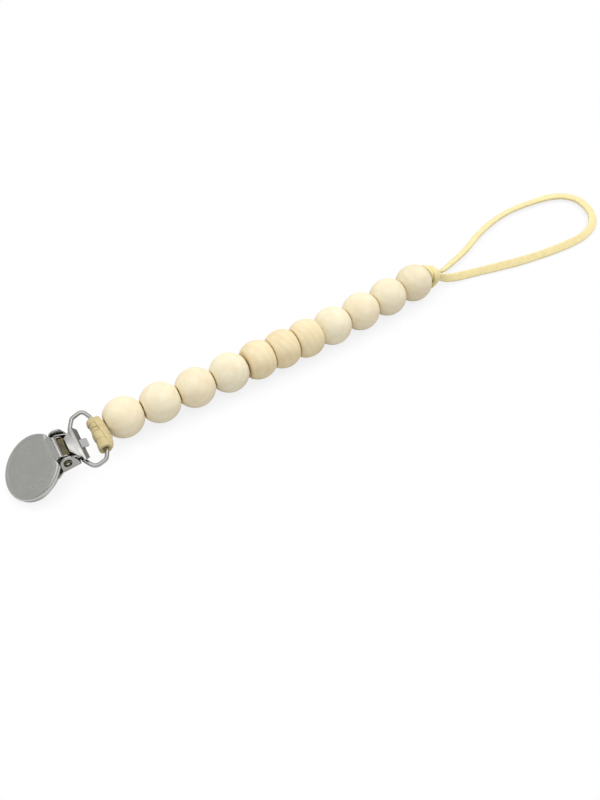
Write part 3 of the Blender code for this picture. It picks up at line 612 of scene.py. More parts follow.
def makeLoop(size):
    # A flat cord on its edge: its thickness lies along (level cos lean + up sin lean).
    before, after = size["roots"]
    path = smoothPath([*before, *size["route"], *after], size["steps"]) + np.array(size["start"])
    count = np.arange(len(path)) / size["steps"] - len(before)
    path[:, 2] -= np.interp(count, *np.array(size["sag"]).T)
    tangents = unit(np.gradient(path, axis=0))
    level = unit(np.cross(tangents, (0.0, 0.0, 1.0)))
    lean = np.radians(np.interp(count, *np.array(size["lean"], float).T))
    facing = level * np.cos(lean)[:, None] + np.cross(level, tangents) * np.sin(lean)[:, None]
    width = np.interp(count, *np.array(size["widths"]).T)
    for share, pace, phase in size["waves"]:
        width = width + share * np.sin(count * pace + phase)
    shell = flatCord(path, cordSection(size), facing, width)
    piece = makePiece("loopCord", [shell], "loop_suede", "knot", ["loop_cord"])


makeLoop(loop)
print("loop made")


# The beads, each a turned shape with a bore.
beads = {
    "round": {"length": 14.6, "face": 3.7, "slot": "pale_wood"},
    "flat": {"length": 11.05, "face": 5.9, "slot": "tan_wood"},
    "diameter": 16.0,
    "bore": 2.3,
    "fillet": 0.55,
    "edge": 0.5,
    "outlinePoints": 40,
    "edgeSteps": 6,
    "filletSteps": 5,
    "steps": 72,
    "kinds": ["round"] * 4 + ["flat"] * 3 + ["round"] * 4,
    # The grain's two turns, and the tint, of each bead.
    "grains": [
        (75, 20, 1.02), (90, -30, 1.0), (80, 60, 1.0), (60, 10, 0.99), (12, 0, 1.0), (8, 40, 0.98),
        (10, 80, 1.01), (70, 30, 1.0), (85, -60, 0.99), (70, -20, 0.97), (88, -52, 0.93),
    ],
    "warmth": [0.97, 1.0, 0.96, 1.03, 1.0, 0.97, 1.0, 1.02, 0.97, 1.0, 0.98],
    # From one bead's place in the wood to the next one's, so that no grain comes twice.
    "grainStep": (31.7, 12.3, 47.9),
}


def beadOutline(kind, size):
    # An ellipse through the edges of the flat faces, a soft edge, the face, and a fillet into the bore.
    radius, rim = size["diameter"] / 2, size["bore"] + size["fillet"]
    face, half = size[kind]["face"], size[kind]["length"] / 2
    limit = math.acos(face / radius)
    reach = half / math.sin(limit)
    soft = limit - size["edge"] / reach
    angles = np.linspace(soft, 0, size["outlinePoints"])
    upper = np.stack([radius * np.cos(angles), reach * np.sin(angles)], 1)
    t = np.linspace(0, 1, size["edgeSteps"] + 1)[1:, None]
    first, corner, last = upper[0], np.array((face, half)), np.array((face - size["edge"], half))
    edge = (1 - t) ** 2 * first + 2 * t * (1 - t) * corner + t**2 * last
    bore = np.array(arc((rim, half - size["fillet"]), size["fillet"], 90.0, 180.0, size["filletSteps"]))
    quarter = np.concatenate([bore[::-1], edge[::-1], upper])
    return np.concatenate([quarter, (quarter * (1, -1))[-2::-1]])


def makeBeads(size):
    # Point = (height, r cos a, r sin a), turned and moved to the bead's own place on the cord.
    angles = np.linspace(0, 2 * math.pi, size["steps"], endpoint=False)
    for index, kind in enumerate(size["kinds"]):
        number = index + 1
        outline = beadOutline(kind, size)
        r, height = outline[:, :1], outline[:, 1:]
        points = np.stack([
            np.broadcast_to(height, (len(outline), size["steps"])),
            r * np.cos(angles)[None],
            r * np.sin(angles)[None],
        ], -1).reshape(-1, 3)
        faces = gridFaces(len(outline), size["steps"], True, True)
        tilt, spin, tint = size["grains"][index]
        grain = points @ turnAbout("y", tilt) @ turnAbout("x", spin) + number * np.array(size["grainStep"])
        warm = size["warmth"][index]
        tints = np.tile((tint, tint * (0.5 + 0.5 * warm), tint * warm), (len(points), 1))
        shell = moved((points, faces), cordHeading(number), jointPlace(f"spin_{number}"))
        body, attributes = f"bead_{number}", {"grain": grain, "tint": tints}
        makePiece(f"bead{number}", [shell], size[kind]["slot"], body, [body], attributes)


makeBeads(beads)
print("beads made")


# The cord inside the beads, doubled.
innerCord = {"width": 2.9, "thickness": 1.4, "corner": 0.45, "apart": 1.5, "overlap": 0.15, "points": 8}


def makeInnerCords(size):
    # Two straight strands side by side in each bead, from one bend to the next.
    section = cordSection(size)
    count = len(beads["kinds"])
    for number in range(1, count + 1):
        start = jointPlace(f"bend_{number}")
        after = jointPlace(f"bend_{number + 1}" if number < count else "knot_bend")
        length = np.linalg.norm(after - start)
        along = np.linspace(-size["overlap"], length + size["overlap"], size["points"])
        shells = []
        for side in (-0.5, 0.5):
            path = np.outer(along, (1, 0, 0)) + (0, side * size["apart"], 0)
            shells.append(moved(sweep(path, section, (0, 1, 0)), cordHeading(number), start))
        replaced = [f"cord_link_{number}"]
        makePiece(f"innerCord{number}", shells, "hitch_suede", f"link_{number}", replaced)


makeInnerCords(innerCord)


# The clip lies in a frame of its own: its pin is the origin and its Y axis.
clip = {
    "rollDeg": 6.0,
    "tipDownDeg": 10.0,
    "yawDeg": -5.0,
    "faceSlopeDeg": 23.3,
    "faceCentre": (-12.3, -1.0),
}
clipTurn = turnAbout("z", clip["yawDeg"]) @ turnAbout("y", -clip["tipDownDeg"])
clipTurn = clipTurn @ turnAbout("x", clip["rollDeg"])
clipPlace = jointPlace("lever_flip")
uprightTurn = np.array(((1, 0, 0), (0, 0, -1), (0, 1, 0)), float)


def onClip(shell):
    # From the clip's frame to the row frame.
    return moved(shell, clipTurn, clipPlace)


def sidePlates(outline, thickness, y, edge=0.1):
    # Two plates drawn in the clip's side view, as far along the pin to either side.
    plate = edgedPlate(outline, thickness, edge)
    return [onClip(moved(plate, uprightTurn, (0, side * y, 0))) for side in (-1, 1)]


def facePoint(along, depth):
    # A point of the side view: along the face to its tip, and under its skin.
    slope = math.radians(clip["faceSlopeDeg"])
    x, z = clip["faceCentre"]
    return (
        x - along * math.cos(slope) + depth * math.sin(slope),
        z - along * math.sin(slope) - depth * math.cos(slope),
    )


def faceAlong(x, depth):
    # How far along the face a point of the side view lies, from its X and depth.
    slope = math.radians(clip["faceSlopeDeg"])
    return (clip["faceCentre"][0] + depth * math.sin(slope) - x) / math.cos(slope)


def onFace(shell, depth=0.0):
    # From the face's own plane to the row frame.
    x, z = facePoint(0, depth)
    return onClip(moved(shell, turnAbout("y", -clip["faceSlopeDeg"]), (x, 0, z)))


# The round face: a pressed cap with a lip turned in under it, and a tongue at its rear.
faceCap = {
    "radius": 12.5,
    "rear": 3.05,
    "rearCorner": 0.7,
    "wall": 0.5,
    "depth": 2.7,
    "edge": 0.8,
    # Inset and height of the points of the wall's low edge.
    "lowEdge": ((0.0, 0.2), (0.06, 0.06), (0.2, 0.0)),
    "lip": 1.2,
    # Where the wall starts to grow lower, and its share at the rear.
    "taperStart": -3.0,
    "rearDepth": 0.4,
    # The tongue, which is sunk under the skin and tapers a little to the front: its rear end, how much of it
    # the cap covers, and its two rear corners, which are turned with a radius and cut off past it.
    "tongueRear": 1.5,
    "tongueOverlap": 1.6,
    "tongueHalfWidth": 5.4,
    "tongueTaper": 0.2,
    "tongueCorner": 0.6,
    "tongueCut": 0.9,
    "tongueSink": 0.06,
    "tongueEdge": 0.14,
    # Share of the face's size, and its depth there: a rim round a face that is slightly sunk.
    "dish": (
        (0.965, 0.0), (0.95, -0.03), (0.92, -0.17), (0.905, -0.19), (0.85, -0.2), (0.5, -0.215), (0.2, -0.22),
    ),
    "steps": 120,
    "edgeSteps": 6,
    "tongueSteps": 4,
}


def capShell(limit, size):
    # Rings from the round edge, down the wall and in under the lip, and from that edge to the middle.
    outline = clippedDisc(size["radius"], limit, size["rearCorner"], size["steps"])
    edge, depth, wall, lip = size["edge"], size["depth"], size["wall"], size["lip"]
    angles = np.linspace(0, math.pi / 2, size["edgeSteps"] + 1)
    profile = [(edge - edge * math.sin(a), edge * math.cos(a) - edge) for a in angles]
    profile += [(inset, height - depth) for inset, height in size["lowEdge"]]
    profile += [(lip, -depth), (lip, wall - depth), (wall, wall - depth), (wall, -edge), (edge, -wall)]
    points, faces = plateShell(outline, profile)
    # The wall's height times a share that falls smoothly to the rear.
    t = np.clip((points[:, 0] - size["taperStart"]) / (limit - size["taperStart"]), 0, 1)
    share = 1 - (1 - size["rearDepth"]) * t**2 * (3 - 2 * t)
    points[:, 2] = np.where(points[:, 2] < -edge, -edge + (points[:, 2] + edge) * share, points[:, 2])
    # The face's rings take the place of the flat top.
    count = len(outline)
    faces.remove(tuple(range(count)))
    rings = [points[:count] * (scale, scale, 0) + (0, 0, sink) for scale, sink in size["dish"]]
    start = len(points)
    faces += [tuple(start + k for k in face) for face in gridFaces(len(rings) + 1, count, False, True)]
    faces.append(tuple(start + len(rings) * count + k for k in range(count)))
    return np.concatenate([points, points[:count], *rings]), faces


def makeFaceCap(size):
    # The cap, and the tongue as a plate just under its skin.
    limit = -faceAlong(-size["rear"], 0)
    depth = size["wall"] / 2 + size["tongueSink"]
    front, rear = limit - size["tongueOverlap"], -faceAlong(-size["tongueRear"], depth)
    half = size["tongueHalfWidth"]
    tongue = endedStrip(
        front, rear, (-half, half), size["tongueCut"], size["tongueCorner"], size["tongueSteps"],
        size["tongueTaper"],
    )
    plate = edgedPlate(tongue, size["wall"], size["tongueEdge"])
    shells = [onFace(capShell(limit, size)), onFace(plate, depth)]
    makePiece("faceCap", shells, "face_steel", "front_jaw", ["face_cap"])


makeFaceCap(faceCap)


# The inner jaw: a disc under the cap, a bent neck over the pin and a flange at each side.
frontJaw = {
    "radius": 11.7,
    "thickness": 0.7,
    "corner": 0.5,
    "edge": 0.12,
    "gapToCap": 0.3,
    "neckThickness": 0.6,
    "neckHalfWidth": 4.7,
    "neckBend": 1.35,
    "neckBendRadius": 0.9,
    "neckEnd": (-0.35, 1.62),
    "rootOverlap": 1.3,
    "flangeRadius": 1.8,
    "flangeArcDeg": (175, 460),
    "flangeInset": 0.34,
    "flangeSteps": 30,
    "steps": 96,
}


def makeFrontJaw(size):
    # The disc is a plate under the cap, the neck a bent strip, and each flange a plate round the pin.
    middle = faceCap["wall"] + size["gapToCap"] + size["thickness"] / 2
    rear = faceAlong(-faceCap["rear"], middle)
    outline = clippedDisc(size["radius"], -rear, size["corner"], size["steps"])
    disc = edgedPlate(outline, size["thickness"], size["edge"])
    root = facePoint(rear + size["rootOverlap"], middle)
    bend = facePoint(faceAlong(-size["neckBend"], middle), middle)
    path = bentPath([root, bend, size["neckEnd"]], size["neckBendRadius"])
    neck = sheetShell(stripGrid(path, size["neckHalfWidth"]), size["neckThickness"])
    flange = arc((0, 0), size["flangeRadius"], *size["flangeArcDeg"], size["flangeSteps"]) + [bend]
    flanges = sidePlates(flange, size["neckThickness"], size["neckHalfWidth"] - size["flangeInset"])
    shells = [onFace(disc, middle), onClip(neck), *flanges]
    makePiece("frontJaw", shells, "clip_steel", "front_jaw", ["front_jaw"])


makeFrontJaw(frontJaw)


# The base: the back jaw, a floor folded up into two ears, and a curl round the ring's bar.
base = {
    "sheet": 0.7,
    "depth": 5.0,
    "jawSheet": 0.67,
    "jawRoot": 3.0,
    "jawSlopeDeg": 12.9,
    "jawRadius": 9.8,
    "jawCentre": 12.8,
    # The jaw's round edge: its first angle in radians, its share of a half circle, its number of sections,
    # and the half width at its very tip.
    "jawFirst": 0.02,
    "jawShare": 0.78,
    "jawSteps": 40,
    "tipHalfWidth": 0.1,
    # Place and least half width of the jaw near its root, and two places past the root.
    "rootWidths": ((-7.5, 7.4), (-5.0, 7.2), (-3.0, 6.1)),
    "rootOverlap": (-2.6, -2.2),
    "halfWidth": 6.45,
    "earFront": 2.8,
    "earFrontTop": -1.4,
    # Place and radius of the ear's round head, and a point of its sloping tail.
    "earHead": (0.3, 0.3, 2.8),
    "earTail": (3.6, -1.0),
    "foldRadius": 0.9,
    "headSteps": 24,
    "foldSteps": 5,
    "floorSteps": 8,
    # Where the ears have a section besides those round the head, and its points as shares of the height.
    "earPlaces": (-2.72, -2.5, 3.0, 3.3, 3.6, 3.75),
    "earShares": (1.0, 0.97, 0.8, 0.55, 0.3, 0.08, 0.0),
    "bar": (5.1, -4.2),
    "floorEnd": 3.9,
    "curlSheet": 0.66,
    "curlHalfWidth": 4.5,
    "curlRadius": 1.45,
    "curlArcDeg": (215, 500),
    "curlSteps": 32,
    "curlStart": (2.6, 3.2),
}


def earTop(x, size):
    # The height of the ear's edge over each x: front edge, round head, and sloping tail.
    headX, headZ, radius = size["earHead"]
    tailX, tailZ = size["earTail"]
    head = headZ + np.sqrt(np.clip(radius**2 - (x - headX) ** 2, 0, None))
    front = np.interp(x, [-size["earFront"], headX - radius], [size["earFrontTop"], headZ])
    tail = np.interp(x, [headX + radius, tailX, size["floorEnd"]], [headZ, tailZ, size["bar"][1]])
    return np.where(x < headX - radius, front, np.where(x > headX + radius, tail, head))


def foldedFloor(size):
    # Each x has one section: up the near ear, round the fold, over the floor and up the far ear.
    headX, _, radius = size["earHead"]
    dense = headX - radius * np.cos(np.linspace(0, math.pi, size["headSteps"] + 1))
    xs = np.concatenate([dense, size["earPlaces"], [-size["earFront"], size["floorEnd"]]])
    xs = np.unique(np.round(xs, 4))
    low = size["sheet"] / 2 - size["depth"]
    half, fold = size["halfWidth"], size["foldRadius"]
    turn = arc((-half + fold, low + fold), fold, 180, 270, size["foldSteps"])[1:]
    floor = [(y, low) for y in np.linspace(-half + fold, half - fold, size["floorSteps"] + 1)[1:-1]]
    rows = []
    for x, top in zip(xs, earTop(xs, size)):
        side = [(-half, low + fold + (top - low - fold) * share) for share in size["earShares"]] + turn
        row = side + floor + [(-y, z) for y, z in reversed(side)]
        rows.append([(x, y, z) for y, z in row])
    return np.array(rows)


def jawShell(low, size):
    # A sloping strip as wide as the jaw's disc at each x, and no narrower than its root.
    slope = math.tan(math.radians(size["jawSlopeDeg"]))
    centre, radius, root = -size["jawCentre"], size["jawRadius"], -size["jawRoot"]
    angles = np.linspace(size["jawFirst"], math.pi * size["jawShare"], size["jawSteps"])
    across = centre - radius * np.cos(angles)
    across = np.concatenate([across[across < root], [root, *size["rootOverlap"]]])
    heights = np.where(across < root, low + (across - root) * slope, low)
    widths = np.sqrt(np.clip(radius**2 - (across - centre) ** 2, size["tipHalfWidth"] ** 2, None))
    rootWidths = np.interp(across, *np.array(size["rootWidths"]).T)
    widths = np.where(across > centre, np.maximum(widths, rootWidths), widths)
    return sheetShell(stripGrid(np.column_stack([across, heights]), widths, columns=17), size["jawSheet"])


def makeBasePlate(size):
    # The jaw, the floor with its ears, and the curl: a strip that wraps on round the bar.
    low = size["sheet"] / 2 - size["depth"]
    wrap = arc(size["bar"], size["curlRadius"], *size["curlArcDeg"], size["curlSteps"])
    curlPath = np.array([*((x, low) for x in size["curlStart"]), *wrap])
    curl = sheetShell(stripGrid(curlPath, size["curlHalfWidth"], columns=9), size["curlSheet"])
    floor = sheetShell(foldedFloor(size), size["sheet"])
    shells = [onClip(jawShell(low, size)), onClip(floor), onClip(curl)]
    makePiece("basePlate", shells, "clip_steel", "clip_base", ["base_plate"])


makeBasePlate(base)


# The riveted pin with a grooved head at each end, its sleeve, and the leaf behind it, all in the very dark
# pin colour: partly the pin's own dark colour, partly painted shade for the heads' grooves and the gap
# between neck and lever.
pin = {
    "radius": 0.95,
    "seat": 6.85,
    "headRadius": 1.6,
    "headHeight": 0.5,
    # From the middle outward, the inset and drop of each point of the grooved head, and of the dome in it.
    "headEdge": ((1.58, 0.45), (0.42, 0.45), (0.36, 0.2), (0.3, 0.02), (0.2, 0.0), (0.08, 0.06), (0.0, 0.2)),
    "domeRadius": 0.7,
    "domeEdge": ((0.69, 0.0), (0.35, 0.04), (0.105, 0.14), (0.0, 0.3), (0.0, 0.6)),
    "steps": 40,
    "sleeveRadius": 1.2,
    "sleeveHalfLength": 3.9,
    "sleeveEdge": 0.1,
    "leaf": ((0.6, 0.8), (1.5, 0.5), (2.4, -0.2), (3.0, -1.4)),
    "leafHalfWidth": 3.8,
    "leafSheet": 0.4,
    "leafSteps": 6,
}


def alongPin(profile, steps):
    # A turned shape whose axis is the pin.
    return onClip(moved(latheShell(profile, steps), uprightTurn, (0, 0, 0)))


def makePin(size):
    # The far half of the pin and of its sleeve is the mirror image of the near one.
    seat, head, dome = size["seat"], size["headRadius"], size["domeRadius"]
    top, steps = seat + size["headHeight"], size["steps"]
    outline = [(head - inset, top - drop) for inset, drop in size["headEdge"]]
    outline += [(head, seat), (size["radius"], seat)]
    radius, half, edge = size["sleeveRadius"], size["sleeveHalfLength"], size["sleeveEdge"]
    sleeve = [(size["radius"], half), (radius - edge, half), (radius, half - edge)]
    leaf = stripGrid(smoothPath(size["leaf"], size["leafSteps"]), size["leafHalfWidth"])
    shells = [
        alongPin(mirrored(outline), steps),
        alongPin(mirrored(sleeve), steps),
        onClip(sheetShell(leaf, size["leafSheet"])),
    ]
    makePiece("pivotPin", shells, "pin_steel", "clip_base", ["pivot_pin"])
    near = [(dome - inset, top - drop) for inset, drop in size["domeEdge"]]
    far = [(r, -height) for r, height in near]
    ends = [alongPin(near, steps), alongPin(far, steps)]
    makePiece("pinEnds", ends, "clip_steel", "clip_base")


makePin(pin)


# The flip lever: a sheet that widens to a lip with a hem, a tab, and an arm at each side.
lever = {
    "sheet": 0.7,
    "front": (2.3, 0.6),
    "rear": (6.15, -2.0),
    "hem": (7.4, -3.3),
    "hemRadius": 0.7,
    "hemSteps": 8,
    "crown": 0.35,
    # How much of the way from front to rear is straight, and its number of sections.
    "straightShare": 0.86,
    "straightSteps": 12,
    # Place and half width of the top: it widens from its front, and in one step to the lip.
    "halfWidths": (
        (2.3, 3.0), (4.4, 5.75), (4.95, 5.75), (5.3, 6.25), (5.65, 7.6), (6.5, 7.6), (7.4, 6.7),
    ),
    "tabStart": (6.0, -1.95),
    "tabEnd": (9.4, -3.0),
    "tabSides": (-2.3, 1.4),
    "tabCorner": 0.7,
    "tabThickness": 0.75,
    "tabEdge": 0.2,
    "tabSteps": 3,
    # The arms: round the pin, then up to the top at their end, and how far along the pin they stand.
    "armRadius": 1.8,
    "armArcDeg": (60, 300),
    "armSteps": 24,
    "armEnd": 4.95,
    "armHeight": 0.75,
    "armPlace": 5.35,
    "armSheet": 0.66,
}


def makeTab(size):
    # A plate from the tab's start to its end, and across from side to side.
    start, end = np.array(size["tabStart"]), np.array(size["tabEnd"])
    along = unit(end - start)
    length, corner = np.linalg.norm(end - start), size["tabCorner"]
    outline = endedStrip(0, length, size["tabSides"], corner, corner, size["tabSteps"])
    turn = np.array(((along[0], 0, -along[1]), (0, 1, 0), (along[1], 0, along[0])))
    plate = edgedPlate(outline, size["tabThickness"], size["tabEdge"])
    return onClip(moved(plate, turn, (start[0], 0, start[1])))


def makeLever(size):
    # The top is a strip with a bent hem; each arm is a plate round the pin.
    front, rear, hem = (np.array(size[key]) for key in ("front", "rear", "hem"))
    shares = np.linspace(0, size["straightShare"], size["straightSteps"])
    straight = [front + (rear - front) * share for share in shares]
    bent = bentPath([straight[-1], rear, hem], size["hemRadius"], size["hemSteps"])
    path = np.concatenate([straight, bent[1:]])
    widths = np.interp(path[:, 0], *np.array(size["halfWidths"]).T)
    top = sheetShell(stripGrid(path, widths, columns=21, crown=size["crown"]), size["sheet"])
    slope = (rear[1] - front[1]) / (rear[0] - front[0])
    end = size["armEnd"]
    height = front[1] + slope * (end - front[0])
    arm = arc((0, 0), size["armRadius"], *size["armArcDeg"], size["armSteps"])
    arm += [(end, height - size["armHeight"]), (end, height), size["front"]]
    shells = [onClip(top), makeTab(size), *sidePlates(arm, size["armSheet"], size["armPlace"])]
    makePiece("flipLever", shells, "clip_steel", "lever", ["flip_lever"])


makeLever(lever)


# The wire ring: straight sides and soft corners, in a frame whose Y axis is its bar in the curl.
ring = {
    "wire": 0.8,
    "cornerRadius": 2.75,
    "cornerSteps": 9,
    "droopDeg": 17.6,
    "corners": (
        (0, -8.4), (2.7, -13.0), (7.6, -11.1), (9.1, -7.9), (9.1, 9.2), (7.3, 13.2), (2.6, 11.1), (0, 6.2),
    ),
    "sides": 24,
}
ringTurn = clipTurn @ turnAbout("y", ring["droopDeg"])


def makeRing(size):
    # A round wire swept along the outline.
    outline = roundedLoop(size["corners"], size["cornerRadius"], size["cornerSteps"])
    path = np.column_stack([outline, np.zeros(len(outline))])
    shell = sweep(path, circle(size["wire"], size["sides"]), (0, 0, 1), closed=True)
    shell = moved(shell, ringTurn, jointPlace("ring_swing"))
    makePiece("ring", [shell], "ring_wire", "ring", ["ring"])


makeRing(ring)
print("clip and ring made")


# The hitch: bands of flat cord round the ring's outer bar, and a strand laid beside them.
hitch = {
    "inside": 1.0,
    "edge": 0.38,
    "edgeSteps": 4,
    "sides": 56,
    # Far and near edge along the bar, outer radius at both, and tilt in degrees, of each band.
    "bands": (
        (7.5, 4.95, 2.3, 2.5, 3), (4.95, 2.95, 2.2, 2.15, -2), (2.95, 1.0, 2.1, 2.2, 2),
        (1.0, -2.8, 2.45, 2.3, 0), (-2.8, -6.9, 2.3, 2.65, -2),
    ),
    # How far a band swells in its middle, the slant of its two ends, and the angle round the bar, in
    # radians below nought, at which its tilt takes it furthest along.
    "swell": 0.1,
    "swellSteps": 6,
    "slant": 0.02,
    "tiltTo": 0.8,
    # Share of the radius, waves round the bar, and phase by the band's place, of each slight wave.
    "waves": ((0.025, 2, 1), (0.015, 5, 2)),
    # The open near end of the last band: the radius of its mouth, and how far in it reaches.
    "mouth": 1.55,
    "mouthReach": 0.9,
    # Places beside the bar, the way the strand faces in degrees from X, and its width.
    "strand": (
        (0.9, 7.0, 1.3, 80, 2.4), (1.2, 6.4, 1.75, 80, 3.1), (1.55, 4.6, 1.9, 78, 3.2),
        (1.9, 2.2, 1.8, 72, 3.2), (2.15, -0.4, 1.65, 66, 3.1), (2.4, -2.9, 1.15, 56, 3.0),
        (2.4, -5.0, 0.45, 44, 2.9), (2.0, -6.5, -0.4, 32, 2.3),
    ),
    "strandThickness": 1.4,
    "strandCorner": 0.3,
    "strandSteps": 9,
    "tail": ((2.0, -1.0, -0.4), (2.9, -1.9, -0.4), (3.9, -2.8, -0.6)),
    "tailSection": (2.0, 1.2, 0.4),
    "tailFacing": (0.3, 0.2, 0.9),
    "tailSteps": 6,
    "cordStart": (1.2, 3.9, 0.2),
    "cordOverlap": 0.3,
    "cordSteps": 5,
}


def bandShell(band, size, last):
    # Point = (r cos a, y, r sin a), with r from the section and slight waves, and y tilted by the angle.
    far, near, farRadius, nearRadius, tiltDeg = band
    edge, inside, slant, length = size["edge"], size["inside"], size["slant"], far - near
    quarter = np.linspace(0, math.pi / 2, size["edgeSteps"] + 1)
    section = [(slant, inside)]
    section += [(edge * (1 - math.cos(a)), farRadius - edge * (1 - math.sin(a))) for a in quarter]
    for share in np.linspace(0, 1, size["swellSteps"] + 1)[1:-1]:
        swell = size["swell"] * math.sin(math.pi * share)
        radius = farRadius + (nearRadius - farRadius) * share + swell
        section.append((edge + (length - 2 * edge) * share, radius))
    section += [(length - edge * (1 - math.sin(a)), nearRadius - edge * (1 - math.cos(a))) for a in quarter]
    section += [(length - slant, size["mouth"] if last else inside), (length - size["mouthReach"], inside)]
    section = np.array(section)
    angles = np.linspace(0, 2 * math.pi, size["sides"], endpoint=False)
    wave = sum(share * np.sin(pace * angles + phase * far) for share, pace, phase in size["waves"])
    radius = section[:, 1:] * (1 + wave)
    tilt = math.tan(math.radians(tiltDeg))
    along = far - section[:, :1] + radius * np.cos(angles + size["tiltTo"]) * tilt
    points = np.stack([radius * np.cos(angles), along, radius * np.sin(angles)], -1)
    return points.reshape(-1, 3), gridFaces(len(section), size["sides"], True, True)


def makeHitch(size):
    # The bands, the strand with its own facing, a short tail, and two lines to the first bead.
    bands = size["bands"]
    shells = [bandShell(band, size, band is bands[-1]) for band in bands]
    table = smoothPath(size["strand"], size["strandSteps"])
    angles = np.radians(table[:, 3])
    facing = np.stack([np.cos(angles), np.zeros(len(table)), np.sin(angles)], 1)
    section = roundedBox(1.0, 1.0, size["strandCorner"]) * (1.0, size["strandThickness"])
    shells.append(flatCord(table[:, :3], section, facing, table[:, 4]))
    tail = smoothPath(size["tail"], size["tailSteps"])
    shells.append(sweep(tail, roundedBox(*size["tailSection"]), size["tailFacing"]))
    place, target = jointPlace("hitch_swing"), jointPlace("bend_1")
    shells = [moved(shell, ringTurn, place) for shell in shells]
    start = place + ringTurn @ np.array(size["cordStart"])
    section = cordSection(innerCord)
    heading = cordHeading(1)
    for side in (-0.5, 0.5):
        offset = heading @ np.array((0, side * innerCord["apart"], 0))
        line = smoothPath([start + offset, (start + target) / 2 + offset, target + offset], size["cordSteps"])
        end = target + offset + heading @ np.array((size["cordOverlap"], 0, 0))
        shells.append(sweep(np.concatenate([line, [end]]), section, unit(offset)))
    makePiece("ringHitch", shells, "hitch_suede", "hitch", ["ring_hitch"], sharpDeg=60.0)


makeHitch(hitch)


# The knot: strands of flat cord wound over a short core.
knot = {
    "core": (2.1, 3.1, 3.0),
    "corePole": 0.01,
    "coreSteps": (12, 24),
    "centre": (2.35, 0.0, -0.6),
    "thickness": 1.5,
    "corner": 0.33,
    "steps": 8,
    # Degrees round the cord from its far side over its top, place along, radius and width of each strand.
    "strands": (
        (
            (38, 1.35, 4.8, 1.2), (48, 1.2, 4.5, 1.5), (65, 1.15, 4.1, 1.6), (90, 1.15, 3.8, 1.6),
            (120, 1.15, 3.5, 1.6), (150, 1.3, 2.9, 1.6), (185, 1.7, 2.4, 1.6),
        ),
        (
            (-60, 3.3, 3.0, 2.2), (0, 3.4, 3.1, 2.2), (45, 3.4, 3.2, 2.1), (75, 3.2, 3.4, 2.2),
            (100, 3.1, 3.7, 2.3), (130, 2.95, 4.1, 2.7), (165, 2.7, 4.2, 3.0), (200, 2.25, 4.2, 2.8),
            (222, 1.6, 4.6, 2.3), (234, 1.2, 5.0, 1.9),
        ),
        (
            (190, 3.2, 3.4, 2.6), (235, 2.9, 3.7, 2.8), (290, 2.2, 3.9, 3.0), (350, 1.7, 3.9, 3.0),
            (400, 1.6, 3.8, 2.6), (440, 2.2, 3.2, 2.2),
        ),
    ),
}


def makeKnot(size):
    # Strand: (along, r cos a, r sin a) about the cord, its width along the cord and its face outward.
    # The core is a ball times its three sizes, with a tiny flat at each pole.
    centre = np.array(size["centre"])
    section = roundedBox(1.0, 1.0, size["corner"]) * (1.0, size["thickness"])
    shells = []
    for strand in size["strands"]:
        degrees, along, radius, width = smoothPath(strand, size["steps"]).T
        angles = np.radians(degrees)
        outward = np.stack([np.zeros(len(angles)), np.cos(angles), np.sin(angles)], 1)
        path = outward * radius[:, None] + centre * (0, 1, 1)
        path[:, 0] = along
        shells.append(flatCord(path, section, outward, width))
    steps, sides = size["coreSteps"]
    turns = np.linspace(0, math.pi, steps + 1)
    profile = [(max(math.sin(turn), size["corePole"]), -math.cos(turn)) for turn in turns]
    points, faces = latheShell(profile, sides)
    shells.append((points[:, [2, 0, 1]] * size["core"] + centre, faces))
    heading = cordHeading(len(beads["kinds"]))
    shells = [moved(shell, heading, jointPlace("knot_bend")) for shell in shells]
    makePiece("loopKnot", shells, "loop_suede", "knot", ["loop_knot"])


makeKnot(knot)
print("hitch and knot made")


# The grip pad keeps its solid and gets the plastic.
pad = frame["nodes"]["grip_pad"]
pad.data.materials.clear()
pad.data.materials.append(materials["pad_plastic"])


# Floor, world and lights, in metres and degrees.
studio = {
    "floorSize": 6.0,
    "floorColour": 0.60,
    "floorMirrored": 0.16,
    # The painted shadow on it, from an occlusion test: how far up it looks, how dark it is at its closest,
    # and the openness at which it ends.
    "shadeReach": 0.012,
    "shadeDark": 0.80,
    "shadeEnd": 0.8,
    "shadeSamples": 16,
    "sky": 0.74,
    # A grey screen round the table that only mirrors see: low all round, and high and paler at one side.
    "screenRadius": 1.6,
    "screenStepDeg": 5,
    "screenGrey": 0.42,
    "screenPale": 0.80,
    "screenLowDeg": 30.0,
    "screenHighDeg": 52.0,
    # The heading of the high side, and how its height falls away from there.
    "screenSideDeg": 128.0,
    "screenSpreadDeg": 52.0,
    "screenFull": 1.5,
    # Place, aim, size in metres and power in watts of each soft light, and whether mirrors see it.
    "lights": (
        ((0.22, 0.16, 0.9), (0.0, 0.0, 0.0), 0.6, 5.2, False),
        ((0.50, 0.36, 0.62), (-0.13, 0.0, 0.01), 0.22, 0.20, True),
    ),
}


def seenPlainly(tree):
    # One for rays from the camera, mirrors and glass.
    path = addNode(tree, "ShaderNodeLightPath")
    first = addMath(tree, "MAXIMUM", path.outputs["Is Camera Ray"], path.outputs["Is Glossy Ray"])
    return addMath(tree, "MAXIMUM", first, path.outputs["Is Transmission Ray"])


def makeStagePiece(name, points, faces, material):
    # One mesh of the studio, already in metres.
    mesh = bpy.data.meshes.new(name)
    mesh.from_pydata(points, [], faces)
    mesh.materials.append(material)
    piece = bpy.data.objects.new(name, mesh)
    bpy.context.scene.collection.objects.link(piece)
    return piece


